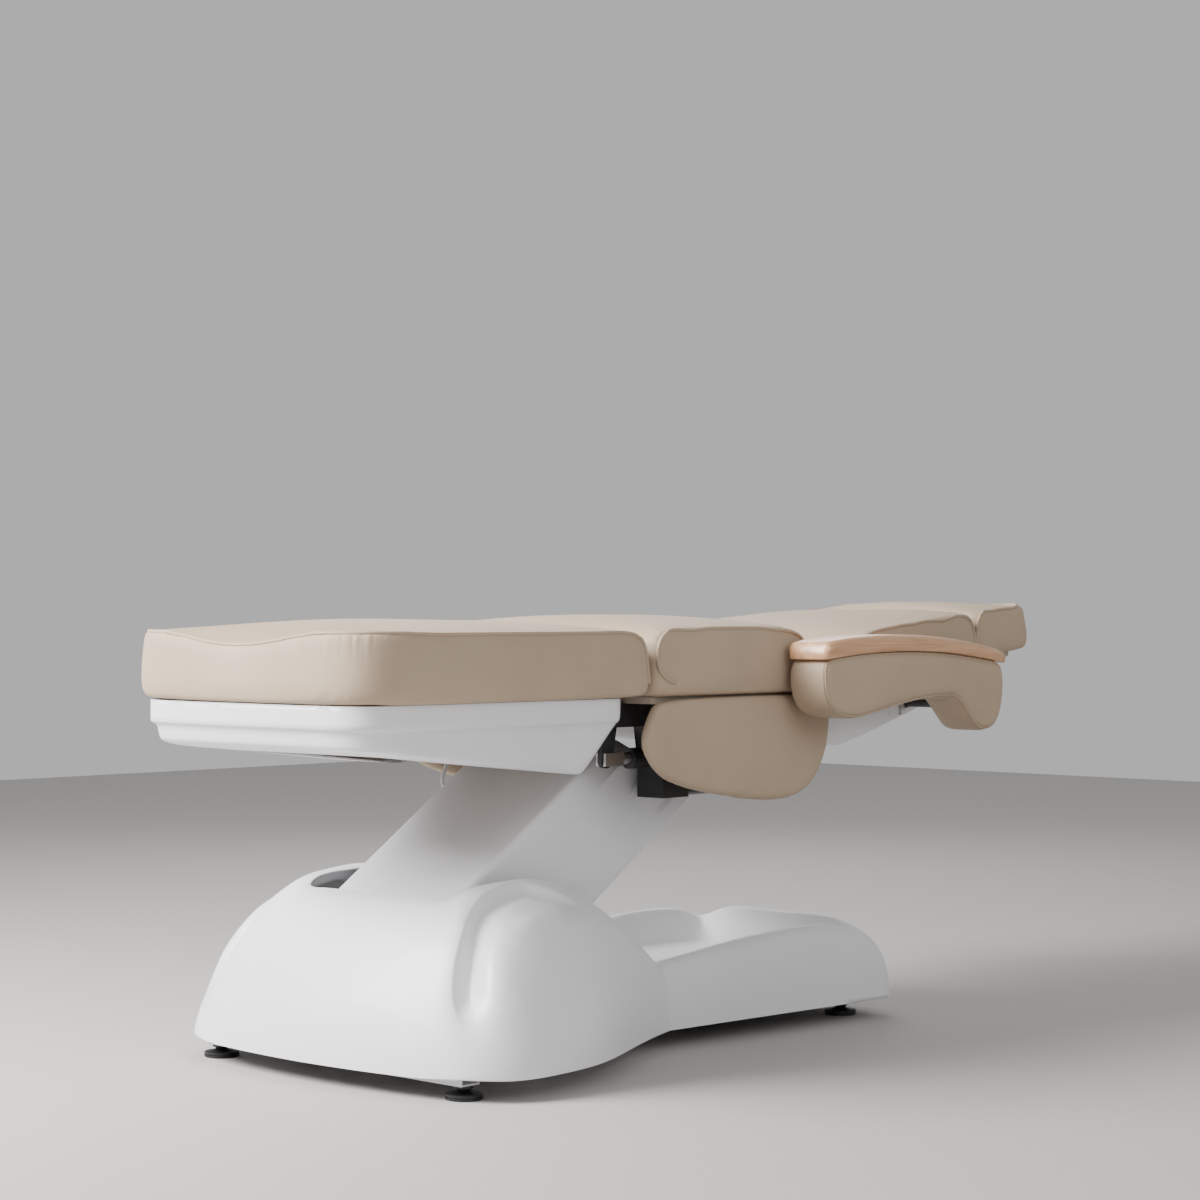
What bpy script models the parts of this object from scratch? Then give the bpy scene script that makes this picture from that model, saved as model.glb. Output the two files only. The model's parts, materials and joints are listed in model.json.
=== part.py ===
"""Electric beauty bed: an upholstered top in three sections on an inclined lift arm.

Units are metres and degrees, +Z is up. X runs from the foot end (-X) to the head end (+X), the
left side of someone lying on the bed is -Y, and the origin is on the floor under the bed's middle.
"""
import bmesh
import bpy
from math import atan2, cos, hypot, pi, radians, sin, sqrt, tan
from mathutils import Matrix, Vector
from mathutils.geometry import tessellate_polygon

# Clearances
GAP = 0.0003  # between pieces that touch
RUN = 0.0010  # between pieces that slide past each other

# Upholstered top, at the photographed height
TOP_WIDTH = 0.627
LEG_LENGTH = 0.653
SEAT_LENGTH = 0.420
BACK_SPAN = 0.604
HEAD_LENGTH = 0.18373
NECK_WIDTH = 0.490
HEAD_WIDTH = 0.470
CUSHION_BOTTOM = 0.617
LEG_THICK = 0.111
SEAT_THICK = 0.117
BACK_THICK = 0.088
CROWN = 0.016
EDGE_ROUND = 0.012
FOOT_CORNER = 0.110
FOOT_BOW = 0.012
FOOT_SCOOP = 0.024
FOOT_SCOOP_REACH = 0.200
SECTION_CORNER = 0.030
HEAD_CORNER = 0.022
VALLEY_GAP = 0.003
LEG_VALLEY_ROUND = 0.055
SEAT_VALLEY_ROUND = 0.040
LAP_ROUND = 0.070
END_ROUND = 0.006
BACK_TILT = 5.0
BACK_FRONT = 0.038
RAMP_LENGTH = 0.140
HEAD_GAP_TOP = 0.014

# Frame under the top
BOARD = 0.0117
BOARD_EDGE = 0.006  # between a board and the shell round it
PLATE = 0.008
PLATE_HEIGHT = 0.040
CROSS_TUBE = 0.040
TUBE_WALL = 0.003
PLATE_STEP = 0.0155
HINGE_ROD = 0.006
HINGE_EYE = 0.0115
BACK_HINGE_SET = 0.005
BACK_HINGE_DROP = 0.013
HEAD_HINGE_SET = 0.002
HEAD_HINGE_DROP = 0.006
HEAD_ROD = 0.005
HEAD_EYE = 0.010
FRONT_CROSS = 0.133  # from the leg hinge
REAR_CROSS = 0.263  # from the leg hinge
LEG_PLATE_END = 0.075  # from the foot end of the cushion

# Ranges of the joints
LIFT_LOW = -13.0
LIFT_HIGH = 28.0
BACK_LOW = -5.0
BACK_HIGH = 52.0
LEG_HIGH = 15.0

# Lift arm
LOWER_PIVOT_BEFORE = 0.233  # the leg hinge
LOWER_PIVOT_Z = 0.187
UPPER_PIVOT_BEHIND = 0.153  # the leg hinge
UPPER_PIVOT_HANG = 0.0797  # below the seat frame
LINK_BEHIND = 0.048  # its pivots behind the arm's
LINK_BELOW = 0.0575
SHAFT = 0.012
ARM_SKEW = 3.77  # the cover's axis below the line through the pivots
ARM_HALF = 0.150
ARM_ABOVE = 0.125
ARM_BELOW = 0.085
ARM_WALL = 0.0035
ARM_CORNER = 0.012
ARM_FOOT_ABOVE = -0.010
ARM_FOOT_BELOW = 0.130
ARM_HEAD_ABOVE = -0.037  # from the upper pivot, along the arm
ARM_HEAD_BELOW = 0.093
ARM_SIDE_CLEAR = 0.006
BEAM = 0.020
BEAM_HALF = 0.030
PIVOT_PLATE = 0.010
PIVOT_EYE = 0.016
BASE_PLATE_Y = 0.112
BASE_PLATE_FOOT = 0.080
BASE_PLATE_HEEL = 0.045
SHAFT_END = 0.006
LINK_THICK = 0.016
LINK_HALF = 0.014
LINK_PIN = 0.009
LINK_EYE = 0.010

# Actuators
LIFT_LEVER = 0.100
BACK_LEVER = 0.100
LEG_LEVER = 0.075
PIN = 0.006
PIN_PLAY = 0.0032
LEVER_HALF = 0.015
FORK_CHEEK = 0.006
FORK_HEIGHT = 0.022
FORK_NOSE = 0.010
FORK_WEB = 0.026
FORK_LENGTH = 0.036
ROD = 0.010
ROD_PLAY = 0.0008
ACTUATOR_TUBE = 0.018
ROD_ENGAGED = 0.035
GEARBOX_LENGTH = 0.065
GEARBOX_HALF = 0.030
GEARBOX_CLEAR = 0.008
MOTOR = 0.022
MOTOR_LENGTH = 0.130
MOTOR_OFFSET = 0.048

# Base frame, its places along the bed taken from the lower pivot
FOOT_HEIGHT = 0.022
FOOT_PAD = 0.030
FOOT_PAD_HEIGHT = 0.010
FOOT_STUD = 0.010
FOOT_INSET = 0.014
TAIL_FOOT_INSET = 0.028
BASE_TUBE = 0.040
FOOT_TUBE_BEFORE = 0.199
FOOT_TUBE_HALF = 0.314
TAIL_TUBE_BEHIND = 0.916
TAIL_TUBE_HALF = 0.190
MOTOR_TUBE_BEHIND = 0.266
RAIL_Y = 0.102
RAIL_WIDTH = 0.030
CONTROL_BOX = (0.180, 0.220, 0.036)
CONTROL_BOX_BEHIND = 0.556
INLET = (0.022, 0.028, 0.020)
INLET_RISE = 0.006
INLET_WALL = 0.003

# Base cover, its places along the bed taken from the lower pivot
COVER_BOTTOM = 0.035
COVER_WALL = 0.004
COVER_HALF = 0.393
COVER_FOOT_BEFORE = 0.284
COVER_TAIL_BEHIND = 0.998
CREASE_BEHIND = 0.371
CREASE_HALF = 0.220
TAIL_HALF = 0.243
SLOT_FOOT_BEFORE = 0.114
SLOT_HEAD_BEHIND = 0.274
SLOT_CLEAR = 0.026
TRAY_TAIL_BEHIND = 0.871
TRAY_HALF = 0.150
DOME_Z = 0.2945
HUMP_Z = 0.325
CREASE_Z = 0.150
TRAY_Z = 0.110
RIM_Z = 0.187
RIM_NOTCH = 0.030
GROOVE_DEPTH = 0.022
GROOVE_EDGE = 0.026
GROOVE_WIDTH = 0.055
GROOVE_NARROWS = 0.40  # of its width, along its run
FENDER_SWELL = 0.008
FENDER_FADE = 0.120
BOSS = 0.008

# Undershells
SHELL_WALL = 0.0035
LIP_INSET = 0.0235
LEG_LIP_DROP = 0.040
BACK_LIP_DROP = 0.024
LIP_STEP = 0.009
LIP_ROUND = 0.004
SHELL_ROUND = 0.008
LEG_LIP_FOOT = 0.013
LEG_LIP_REAR = 0.035  # before the leg hinge
LEG_LIP_CORNER = 0.085
LEG_SHELL_FOOT_DEPTH = 0.070
LEG_SHELL_HEAD_DEPTH = 0.127
LEG_SHELL_SLANT = 0.075
CHANNEL_FOOT = 0.497  # before the leg hinge
BACK_LIP_FRONT = 0.045
BACK_LIP_END = 0.585
BACK_LIP_CORNER = 0.050
BACK_SHELL_FRONT_DEPTH = 0.111
BACK_SHELL_END_DEPTH = 0.042
PLATE_NOTCH = 0.030

# Side panels and armrests
APRON_INSET = 0.0015
APRON_THICK = 0.028
APRON_DROP = 0.185
APRON_FRONT = 0.014  # before the leg hinge
APRON_REAR = 0.048  # behind the back hinge
ARMREST_GAP = 0.010
ARMREST_WIDTH = 0.0965
ARMREST_FRONT = 0.098  # before the back hinge
ARMREST_LENGTH = 0.536
ARMREST_DEPTH = 0.106
HEEL_DEPTH = 0.125
CAP_FRONT_RISE = 0.060  # above the cushions' underside
CAP_MID_RISE = 0.0735
CAP_REAR_RISE = 0.047
CAP_THICK = 0.032
CAP_REAR_THICK = 0.020
BODY_INSET = 0.004  # of the upholstery from the cap's outer edge
SPINDLE = 0.009
SPINDLE_ALONG = 0.349
SPINDLE_DROP = 0.045
SPINDLE_GRIP = 0.0515
SPINDLE_SEAT = 0.035

# How far a padded panel is drawn in at a depth from its inner face, and from its outer face
APRON_INNER_EDGE = ((0.0, 0.008), (0.005, 0.001), (0.012, 0.0))
APRON_OUTER_EDGE = ((0.010, 0.0), (0.003, 0.003), (0.0, 0.014))
ARMREST_INNER_EDGE = ((0.0, 0.008), (0.005, 0.002), (0.014, 0.0))
ARMREST_OUTER_EDGE = ((0.016, 0.0), (0.005, 0.003), (0.0, 0.012))

# Lead
LEAD = 0.004
LEAD_CLIP = 0.0043  # where it meets the hanger's slanted edge, behind the front cross tube's face
LEAD_CLIP_RISE = 0.045  # above the upper pivot

# Places worked out from the dimensions above
SMOOTH_ANGLE = radians(35)
TILT = radians(BACK_TILT)
HALF = TOP_WIDTH / 2
BACK_BOTTOM = BACK_HINGE_DROP
BACK_TOP = BACK_BOTTOM + BACK_THICK
HEAD_START = BACK_SPAN + VALLEY_GAP / 2
HEAD_REACH = (HEAD_START + HEAD_LENGTH) * cos(TILT) - (BACK_BOTTOM + 2 * EDGE_ROUND) * sin(TILT)
FOOT_X = -(LEG_LENGTH + SEAT_LENGTH + BACK_HINGE_SET + HEAD_REACH) / 2
LEG_HINGE_X = FOOT_X + LEG_LENGTH
BOARD_TOP = CUSHION_BOTTOM - GAP
FRAME_TOP = BOARD_TOP - BOARD - GAP
FRAME_BOTTOM = FRAME_TOP - PLATE_HEIGHT
LEG_HINGE = (LEG_HINGE_X, FRAME_TOP - PLATE_HEIGHT / 2)
SEAT_END = LEG_HINGE_X + SEAT_LENGTH
BACK_HINGE = (SEAT_END + BACK_HINGE_SET, CUSHION_BOTTOM - BACK_HINGE_DROP)
HEAD_HINGE = (BACK_SPAN + HEAD_HINGE_SET, -HEAD_HINGE_DROP)
FRONT_CROSS_X = LEG_HINGE_X + FRONT_CROSS
REAR_CROSS_X = LEG_HINGE_X + REAR_CROSS
LOWER_PIVOT = (LEG_HINGE_X - LOWER_PIVOT_BEFORE, LOWER_PIVOT_Z)
UPPER_PIVOT = (LEG_HINGE_X + UPPER_PIVOT_BEHIND, FRAME_BOTTOM - UPPER_PIVOT_HANG)
LINK_LOW = (LOWER_PIVOT[0] + LINK_BEHIND, LOWER_PIVOT[1] - LINK_BELOW)
LINK_HIGH = (UPPER_PIVOT[0] + LINK_BEHIND, UPPER_PIVOT[1] - LINK_BELOW)
UPPER_PLATE_Y = ARM_HALF + ARM_SIDE_CLEAR
LEG_PLATE_Y = UPPER_PLATE_Y + PIVOT_PLATE + GEARBOX_CLEAR + GEARBOX_HALF - PLATE / 2
SEAT_PLATE_Y = LEG_PLATE_Y + PLATE_STEP
ACTUATOR_Y = LEG_PLATE_Y + PLATE / 2
TUBE_TOP = FOOT_HEIGHT + BASE_TUBE
FOOT_TUBE_X = LOWER_PIVOT[0] - FOOT_TUBE_BEFORE
TAIL_TUBE_X = LOWER_PIVOT[0] + TAIL_TUBE_BEHIND
MOTOR_TUBE_X = LOWER_PIVOT[0] + MOTOR_TUBE_BEHIND
CONTROL_BOX_X = LOWER_PIVOT[0] + CONTROL_BOX_BEHIND
COVER_FOOT_X = LOWER_PIVOT[0] - COVER_FOOT_BEFORE
COVER_TAIL_X = LOWER_PIVOT[0] + COVER_TAIL_BEHIND
CREASE_X = LOWER_PIVOT[0] + CREASE_BEHIND
SLOT_FOOT_X = LOWER_PIVOT[0] - SLOT_FOOT_BEFORE
SLOT_HEAD_X = LOWER_PIVOT[0] + SLOT_HEAD_BEHIND
TRAY_TAIL_X = LOWER_PIVOT[0] + TRAY_TAIL_BEHIND
SLOT_HALF = ARM_HALF + SLOT_CLEAR
APRON_OUTER = HALF - APRON_INSET
APRON_INNER = APRON_OUTER - APRON_THICK
ARMREST_INNER = HALF + ARMREST_GAP
ARMREST_OUTER = ARMREST_INNER + ARMREST_WIDTH
ARMREST_FRONT_X = BACK_HINGE[0] - ARMREST_FRONT
CAP_FRONT_Z = CUSHION_BOTTOM + CAP_FRONT_RISE
CAP_MID_Z = CUSHION_BOTTOM + CAP_MID_RISE
CAP_REAR_Z = CUSHION_BOTTOM + CAP_REAR_RISE
SPINDLE_AT = (SPINDLE_ALONG, -SPINDLE_DROP)
SPINDLE_REACH = ARMREST_INNER + SPINDLE_GRIP


for old in list(bpy.data.objects):
    bpy.data.objects.remove(old, do_unlink=True)


def finish(name, colour, roughness, metallic=0.0):
    """A plain material of one colour."""
    made = bpy.data.materials.new(name)
    made.use_nodes = True
    shader = made.node_tree.nodes["Principled BSDF"]
    shader.inputs["Base Color"].default_value = (*colour, 1.0)
    shader.inputs["Roughness"].default_value = roughness
    shader.inputs["Metallic"].default_value = metallic
    return made


LEATHER = finish("beige leatherette", (0.52, 0.42, 0.32), 0.5)
ABS = finish("white moulded plastic", (0.82, 0.82, 0.84), 0.35)
WHITE_STEEL = finish("white powder coat", (0.78, 0.78, 0.80), 0.4)
DARK_STEEL = finish("dark powder coat", (0.05, 0.05, 0.055), 0.5)
BRIGHT_STEEL = finish("bright steel", (0.60, 0.60, 0.62), 0.3, 1.0)
OAK = finish("lacquered oak", (0.66, 0.47, 0.31), 0.4)
PLYWOOD = finish("plywood", (0.50, 0.38, 0.25), 0.7)
BLACK_PLASTIC = finish("black plastic", (0.02, 0.02, 0.022), 0.45)
GREY_PLASTIC = finish("light grey plastic", (0.60, 0.60, 0.60), 0.5)


class Pivot:
    """An empty on a joint's axis that carries the pieces moving with it.

    Pieces with a frame of their own are modelled about the pivot, the others in the bed's frame.
    """

    def __init__(self, name, world, carrier=None, own_frame=False):
        self.empty = bpy.data.objects.new(name, None)
        self.world = world
        self.own_frame = own_frame
        bpy.context.collection.objects.link(self.empty)
        self.empty.matrix_basis = world
        if carrier:
            self.empty.parent = carrier.empty
            self.empty.matrix_parent_inverse = carrier.world.inverted()

    def carry(self, piece):
        piece.parent = self.empty
        if not self.own_frame:
            piece.matrix_parent_inverse = self.world.inverted()


def at(x, z, y=0.0):
    return Matrix.Translation((x, y, z))


def piece(name, verts, faces, material, pivot):
    """A named object from points and faces, with its faces turned outwards."""
    mesh = bpy.data.meshes.new(name)
    mesh.from_pydata([tuple(v) for v in verts], [], [tuple(f) for f in faces])
    shape = bmesh.new()
    shape.from_mesh(mesh)
    bmesh.ops.recalc_face_normals(shape, faces=shape.faces)
    shape.to_mesh(mesh)
    shape.free()
    mesh.shade_smooth()
    mesh.set_sharp_from_angle(angle=SMOOTH_ANGLE)
    made = bpy.data.objects.new(name, mesh)
    made.data.materials.append(material)
    bpy.context.collection.objects.link(made)
    pivot.carry(made)
    return made


def change(target, tool, operation):
    """Cut a tool away from a piece, or weld it on. The tool itself isn't part of the bed."""
    tool.hide_render = True
    tool.display_type = "WIRE"
    step = target.modifiers.new(tool.name, "BOOLEAN")
    step.operation = operation
    step.solver = "EXACT"
    step.object = tool


def cut(target, tool):
    change(target, tool, "DIFFERENCE")


def weld(target, tool):
    change(target, tool, "UNION")


# Flat outlines, as lists of (a, b) points
def rectangle(a0, a1, b0, b1):
    return [(a0, b0), (a1, b0), (a1, b1), (a0, b1)]


def arc(centre, radius, start, end, steps):
    turns = (radians(start + (end - start) * i / steps) for i in range(steps + 1))
    return [(centre[0] + radius * cos(t), centre[1] + radius * sin(t)) for t in turns]


def circle(centre, radius, sides=16):
    return arc(centre, radius, 0, 360 - 360 / sides, sides - 1)


def hull(points):
    """The convex outline round a set of points."""
    ordered = sorted(set(points))

    def side(run):
        kept = []
        for p in run:
            while len(kept) > 1:
                (ax, ay), (bx, by) = kept[-2:]
                if (bx - ax) * (p[1] - ay) - (by - ay) * (p[0] - ax) > 1e-12:
                    break
                kept.pop()
            kept.append(p)
        return kept[:-1]

    return side(ordered) + side(ordered[::-1])


def capsule(start, end, radius):
    return hull(circle(start, radius) + circle(end, radius))


def inset(outline, distance):
    """A closed outline drawn in by a distance, square to its run at each point."""
    turns = zip(outline, outline[1:] + outline[:1])
    way = 1 if sum(a[0] * b[1] - b[0] * a[1] for a, b in turns) > 0 else -1
    made = []
    for i, point in enumerate(outline):
        before, after = outline[i - 1], outline[(i + 1) % len(outline)]
        run = Vector((after[0] - before[0], after[1] - before[1])).normalized() * distance * way
        made.append((point[0] - run.y, point[1] + run.x))
    return made


def smooth(points, steps, closed=False):
    """A Catmull-Rom curve through points of any number of coordinates, with steps for each span."""
    count = len(points)
    spans = count if closed else count - 1
    counts = [steps] * spans if isinstance(steps, int) else steps

    def pick(i):
        return points[i % count] if closed else points[min(max(i, 0), count - 1)]

    made = []
    for i in range(spans):
        p0, p1, p2, p3 = (pick(i + k) for k in (-1, 0, 1, 2))
        for step in range(counts[i]):
            t = step / counts[i]
            made.append(tuple(
                (2 * b + (c - a) * t + (2 * a - 5 * b + 4 * c - d) * t * t
                 + (3 * b - a - 3 * c + d) * t ** 3) / 2
                for a, b, c, d in zip(p0, p1, p2, p3)))
    if not closed:
        made.append(tuple(points[-1]))
    return made


def ease(share):
    """From 0 to 1 with a level start and end."""
    share = min(1.0, max(0.0, share))
    return share * share * (3 - 2 * share)


PLACE = {
    "X": lambda a, b, c: (c, a, b),
    "Y": lambda a, b, c: (a, c, b),
    "Z": lambda a, b, c: (a, b, c),
}


def extruded(name, outline, low, high, axis, material, pivot, holes=()):
    """A flat outline with holes, drawn out along an axis: (y, z), (x, z) or (x, y) outlines."""
    loops = [list(outline)] + [list(hole) for hole in holes]
    flat = [p for loop in loops for p in loop]
    count = len(flat)
    place = PLACE[axis]
    verts = [place(a, b, c) for c in (low, high) for a, b in flat]
    triangles = tessellate_polygon([[Vector((a, b, 0)) for a, b in loop] for loop in loops])
    faces = list(triangles) + [[i + count for i in reversed(tri)] for tri in triangles]
    start = 0
    for loop in loops:
        ring = [start + i for i in range(len(loop))]
        for i, j in zip(ring, ring[1:] + ring[:1]):
            faces.append((i, j, j + count, i + count))
        start += len(loop)
    return piece(name, verts, faces, material, pivot)


def block(name, x, y, z, material, pivot):
    return extruded(name, rectangle(*x, *y), z[0], z[1], "Z", material, pivot)


def lofted(name, rings, material, pivot, ends="fan"):
    """A skin over rings of equal length. Its ends close in a fan, close flat or meet each other."""
    size = len(rings[0])
    verts = [p for ring in rings for p in ring]
    faces = []
    pairs = list(zip(range(len(rings)), range(1, len(rings))))
    if ends == "join":
        pairs.append((len(rings) - 1, 0))
    for a, b in pairs:
        for i in range(size):
            j = (i + 1) % size
            faces.append((a * size + i, a * size + j, b * size + j, b * size + i))
    for first in (0, (len(rings) - 1) * size):
        ring = verts[first:first + size]
        if ends == "fan":
            hub = len(verts)
            verts.append(tuple(sum(c) / size for c in zip(*ring)))
            faces += [(first + i, first + (i + 1) % size, hub) for i in range(size)]
        if ends == "flat":
            flat = tessellate_polygon([[Vector(p) for p in ring]])
            faces += [[first + i for i in tri] for tri in flat]
    return piece(name, verts, faces, material, pivot)


def turned(name, centre, profile, material, pivot, sides=16):
    """A profile of (radius, height) points turned about a vertical axis."""
    rings = [[(centre[0] + r * cos(2 * pi * i / sides), centre[1] + r * sin(2 * pi * i / sides), h)
              for i in range(sides)] for r, h in profile]
    return lofted(name, rings, material, pivot)


# The bodies that move, each on its own axis
base = Pivot("base_pivot", Matrix.Identity(4))
arm = Pivot("lift_pivot", at(*LOWER_PIVOT), base)
link = Pivot("level_link_pivot", at(*LINK_LOW), base)
top = Pivot("level_pivot", at(*UPPER_PIVOT), arm)
leg = Pivot("leg_pivot", at(*LEG_HINGE), top)
back = Pivot("back_pivot", at(*BACK_HINGE) @ Matrix.Rotation(-TILT, 4, "Y"), top, own_frame=True)
head = Pivot("head_pivot", back.world @ at(*HEAD_HINGE), back, own_frame=True)
SPINDLE_WORLD = back.world @ at(*SPINDLE_AT)
SIDES = (("left", -1), ("right", 1))
armrests = {name: Pivot(f"{name}_armrest_pivot", SPINDLE_WORLD, back) for name, _ in SIDES}


def span(side, inner, outer):
    """A stretch of Y on one side of the bed, lowest first."""
    return tuple(sorted((side * inner, side * outer)))


# Levers that the actuator rods drive through a slot
class Lever:
    """A slotted lever: its lean at rest, its slot and the travel of the pin along the actuator."""

    def __init__(self, depth, low, high):
        middle = radians(low + high) / 2
        swing = radians(high - low) / 2
        self.lean = -middle
        self.depth = depth
        self.pin_x = depth * tan(self.lean)
        self.reach = (depth, depth / cos(swing))
        self.out = depth * (tan(swing) - tan(self.lean))
        self.back = depth * (tan(swing) + tan(self.lean))

    def point(self, reach, turn=0.0):
        lean = self.lean - turn
        return reach * sin(lean), -reach * cos(lean)

    def slot(self, hinge, turn=0.0):
        near, far = (self.point(r, turn) for r in self.reach)
        radius = PIN + PIN_PLAY
        return capsule(*((hinge[0] + p[0], hinge[1] + p[1]) for p in (near, far)), radius)

    def tip(self, hinge, turn=0.0):
        p = self.point(self.reach[1], turn)
        return hinge[0] + p[0], hinge[1] + p[1]


lift_lever = Lever(LIFT_LEVER, LIFT_LOW, LIFT_HIGH)
back_lever = Lever(BACK_LEVER, BACK_LOW, BACK_HIGH)
leg_lever = Lever(LEG_LEVER, 0.0, LEG_HIGH)


def actuator(name, lever, hinge, y, way, can_at, seat, carrier, can_way=-1):
    """A motor with its tube, and the rod whose fork grips the lever.

    way is towards the motor, can_at the motor can's offset (y, z) from the rod, seat the height of the
    gearbox's mounting face, and can_way -1 where the can lies back along the tube.
    """
    pin_x = hinge[0] + lever.pin_x
    z = hinge[1] - lever.depth
    inwards = lever.out if way > 0 else lever.back
    outwards = lever.back if way > 0 else lever.out
    half_gap = PLATE / 2 + RUN
    half = half_gap + FORK_CHEEK

    def x(distance):
        return pin_x + way * distance

    rod_pivot = Pivot(f"{name}_rod_slide", at(pin_x, z, y), carrier)
    fork = [(x(-FORK_NOSE), y - half), (x(FORK_LENGTH), y - half), (x(FORK_LENGTH), y + half),
            (x(-FORK_NOSE), y + half), (x(-FORK_NOSE), y + half_gap), (x(FORK_WEB), y + half_gap),
            (x(FORK_WEB), y - half_gap), (x(-FORK_NOSE), y - half_gap)]
    rod = extruded(f"{name}_rod", fork, z - FORK_HEIGHT / 2, z + FORK_HEIGHT / 2, "Z",
                   BRIGHT_STEEL, rod_pivot)
    pin = extruded(f"{name}_pin_tool", circle((pin_x, z), PIN), y - half + FORK_CHEEK / 3,
                   y + half - FORK_CHEEK / 3, "Y", BRIGHT_STEEL, rod_pivot)
    mouth = FORK_LENGTH + inwards + 2 * RUN
    rod_end = mouth + outwards + ROD_ENGAGED
    stem_x = sorted((x(FORK_WEB + RUN), x(rod_end)))
    stem = extruded(f"{name}_stem_tool", circle((y, z), ROD), *stem_x, "X", BRIGHT_STEEL, rod_pivot)
    weld(rod, pin)
    weld(rod, stem)

    bore_end = rod_end + inwards + 2 * RUN
    box_end = bore_end + GEARBOX_LENGTH
    tube_x = sorted((x(mouth), x(bore_end)))
    tube = extruded(f"{name}_motor", circle((y, z), ACTUATOR_TUBE), *tube_x, "X", BLACK_PLASTIC, carrier,
                    holes=[circle((y, z), ROD + ROD_PLAY)])
    dy, dz = can_at
    box_y = (min(y - GEARBOX_HALF, y + dy - MOTOR), max(y + GEARBOX_HALF, y + dy + MOTOR))
    box_z = (min(z - GEARBOX_HALF, z + dz - MOTOR), max(z + GEARBOX_HALF, z + dz + MOTOR))
    box_z = (box_z[0], seat) if seat > z else (seat, box_z[1])
    box = block(f"{name}_gearbox_tool", sorted((x(bore_end - RUN), x(box_end))), box_y, box_z,
                BLACK_PLASTIC, carrier)
    can_root = bore_end + RUN if can_way < 0 else box_end - RUN
    can_x = sorted((x(can_root), x(can_root + can_way * MOTOR_LENGTH)))
    can = extruded(f"{name}_can_tool", circle((y + dy, z + dz), MOTOR), *can_x, "X", BLACK_PLASTIC, carrier)
    weld(tube, box)
    weld(tube, can)


# Base frame
def base_tube(name, x, half, top_z):
    """A square tube across the base, from the feet up to a height."""
    a0, a1 = x - BASE_TUBE / 2, x + BASE_TUBE / 2
    bore = rectangle(a0 + TUBE_WALL, a1 - TUBE_WALL, FOOT_HEIGHT + TUBE_WALL, top_z - TUBE_WALL)
    extruded(name, rectangle(a0, a1, FOOT_HEIGHT, top_z), -half, half, "Y", WHITE_STEEL, base, holes=[bore])


def levelling_foot(name, x, y):
    """A pad on a threaded stud, under a cross tube."""
    pivot = Pivot(f"{name}_screw", at(x, 0, y), base)
    stud_z = (FOOT_HEIGHT + FOOT_PAD_HEIGHT) / 2
    profile = [(FOOT_PAD * 0.93, 0), (FOOT_PAD, FOOT_PAD_HEIGHT / 5), (FOOT_PAD, FOOT_PAD_HEIGHT),
               (FOOT_STUD * 1.5, FOOT_PAD_HEIGHT * 1.3), (FOOT_STUD, stud_z),
               (FOOT_STUD, FOOT_HEIGHT - GAP)]
    turned(name, (x, y), profile, BLACK_PLASTIC, pivot)


base_tube("foot_cross_tube", FOOT_TUBE_X, FOOT_TUBE_HALF, TUBE_TOP)
base_tube("tail_cross_tube", TAIL_TUBE_X, TAIL_TUBE_HALF, TUBE_TOP)
LIFT_AXIS_Z = LOWER_PIVOT[1] - LIFT_LEVER
base_tube("motor_cross_tube", MOTOR_TUBE_X, RAIL_Y - GAP, LIFT_AXIS_Z - GEARBOX_HALF - GAP)
RAIL_X = (FOOT_TUBE_X + BASE_TUBE / 2 + GAP, TAIL_TUBE_X - BASE_TUBE / 2 - GAP)
for side_name, side in SIDES:
    rail_y = span(side, RAIL_Y, RAIL_Y + RAIL_WIDTH)
    bore = rectangle(rail_y[0] + TUBE_WALL, rail_y[1] - TUBE_WALL,
                     FOOT_HEIGHT + TUBE_WALL, TUBE_TOP - TUBE_WALL)
    extruded(f"{side_name}_base_rail", rectangle(*rail_y, FOOT_HEIGHT, TUBE_TOP), *RAIL_X, "X",
             WHITE_STEEL, base, holes=[bore])
    levelling_foot(f"{side_name}_foot_end_foot", FOOT_TUBE_X, side * (FOOT_TUBE_HALF - FOOT_INSET))
    levelling_foot(f"{side_name}_tail_end_foot", TAIL_TUBE_X, side * (TAIL_TUBE_HALF - TAIL_FOOT_INSET))
    foot = [(LOWER_PIVOT[0] - BASE_PLATE_FOOT, TUBE_TOP + GAP),
            (LINK_LOW[0] + BASE_PLATE_HEEL, TUBE_TOP + GAP)]
    outline = hull(foot + circle(LOWER_PIVOT, SHAFT + PIVOT_EYE) + circle(LINK_LOW, LINK_PIN + LINK_EYE))
    plate = extruded(f"{side_name}_pivot_plate", outline,
                     *span(side, BASE_PLATE_Y, BASE_PLATE_Y + PIVOT_PLATE), "Y", WHITE_STEEL, base,
                     holes=[circle(LOWER_PIVOT, SHAFT + GAP)])
    if side < 0:
        stub = span(side, BASE_PLATE_Y + PIVOT_PLATE / 2, BASE_PLATE_Y - LINK_THICK - 3 * RUN)
        weld(plate, extruded("lower_link_pin_tool", circle(LINK_LOW, LINK_PIN), *stub, "Y",
                             BRIGHT_STEEL, base))


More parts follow.
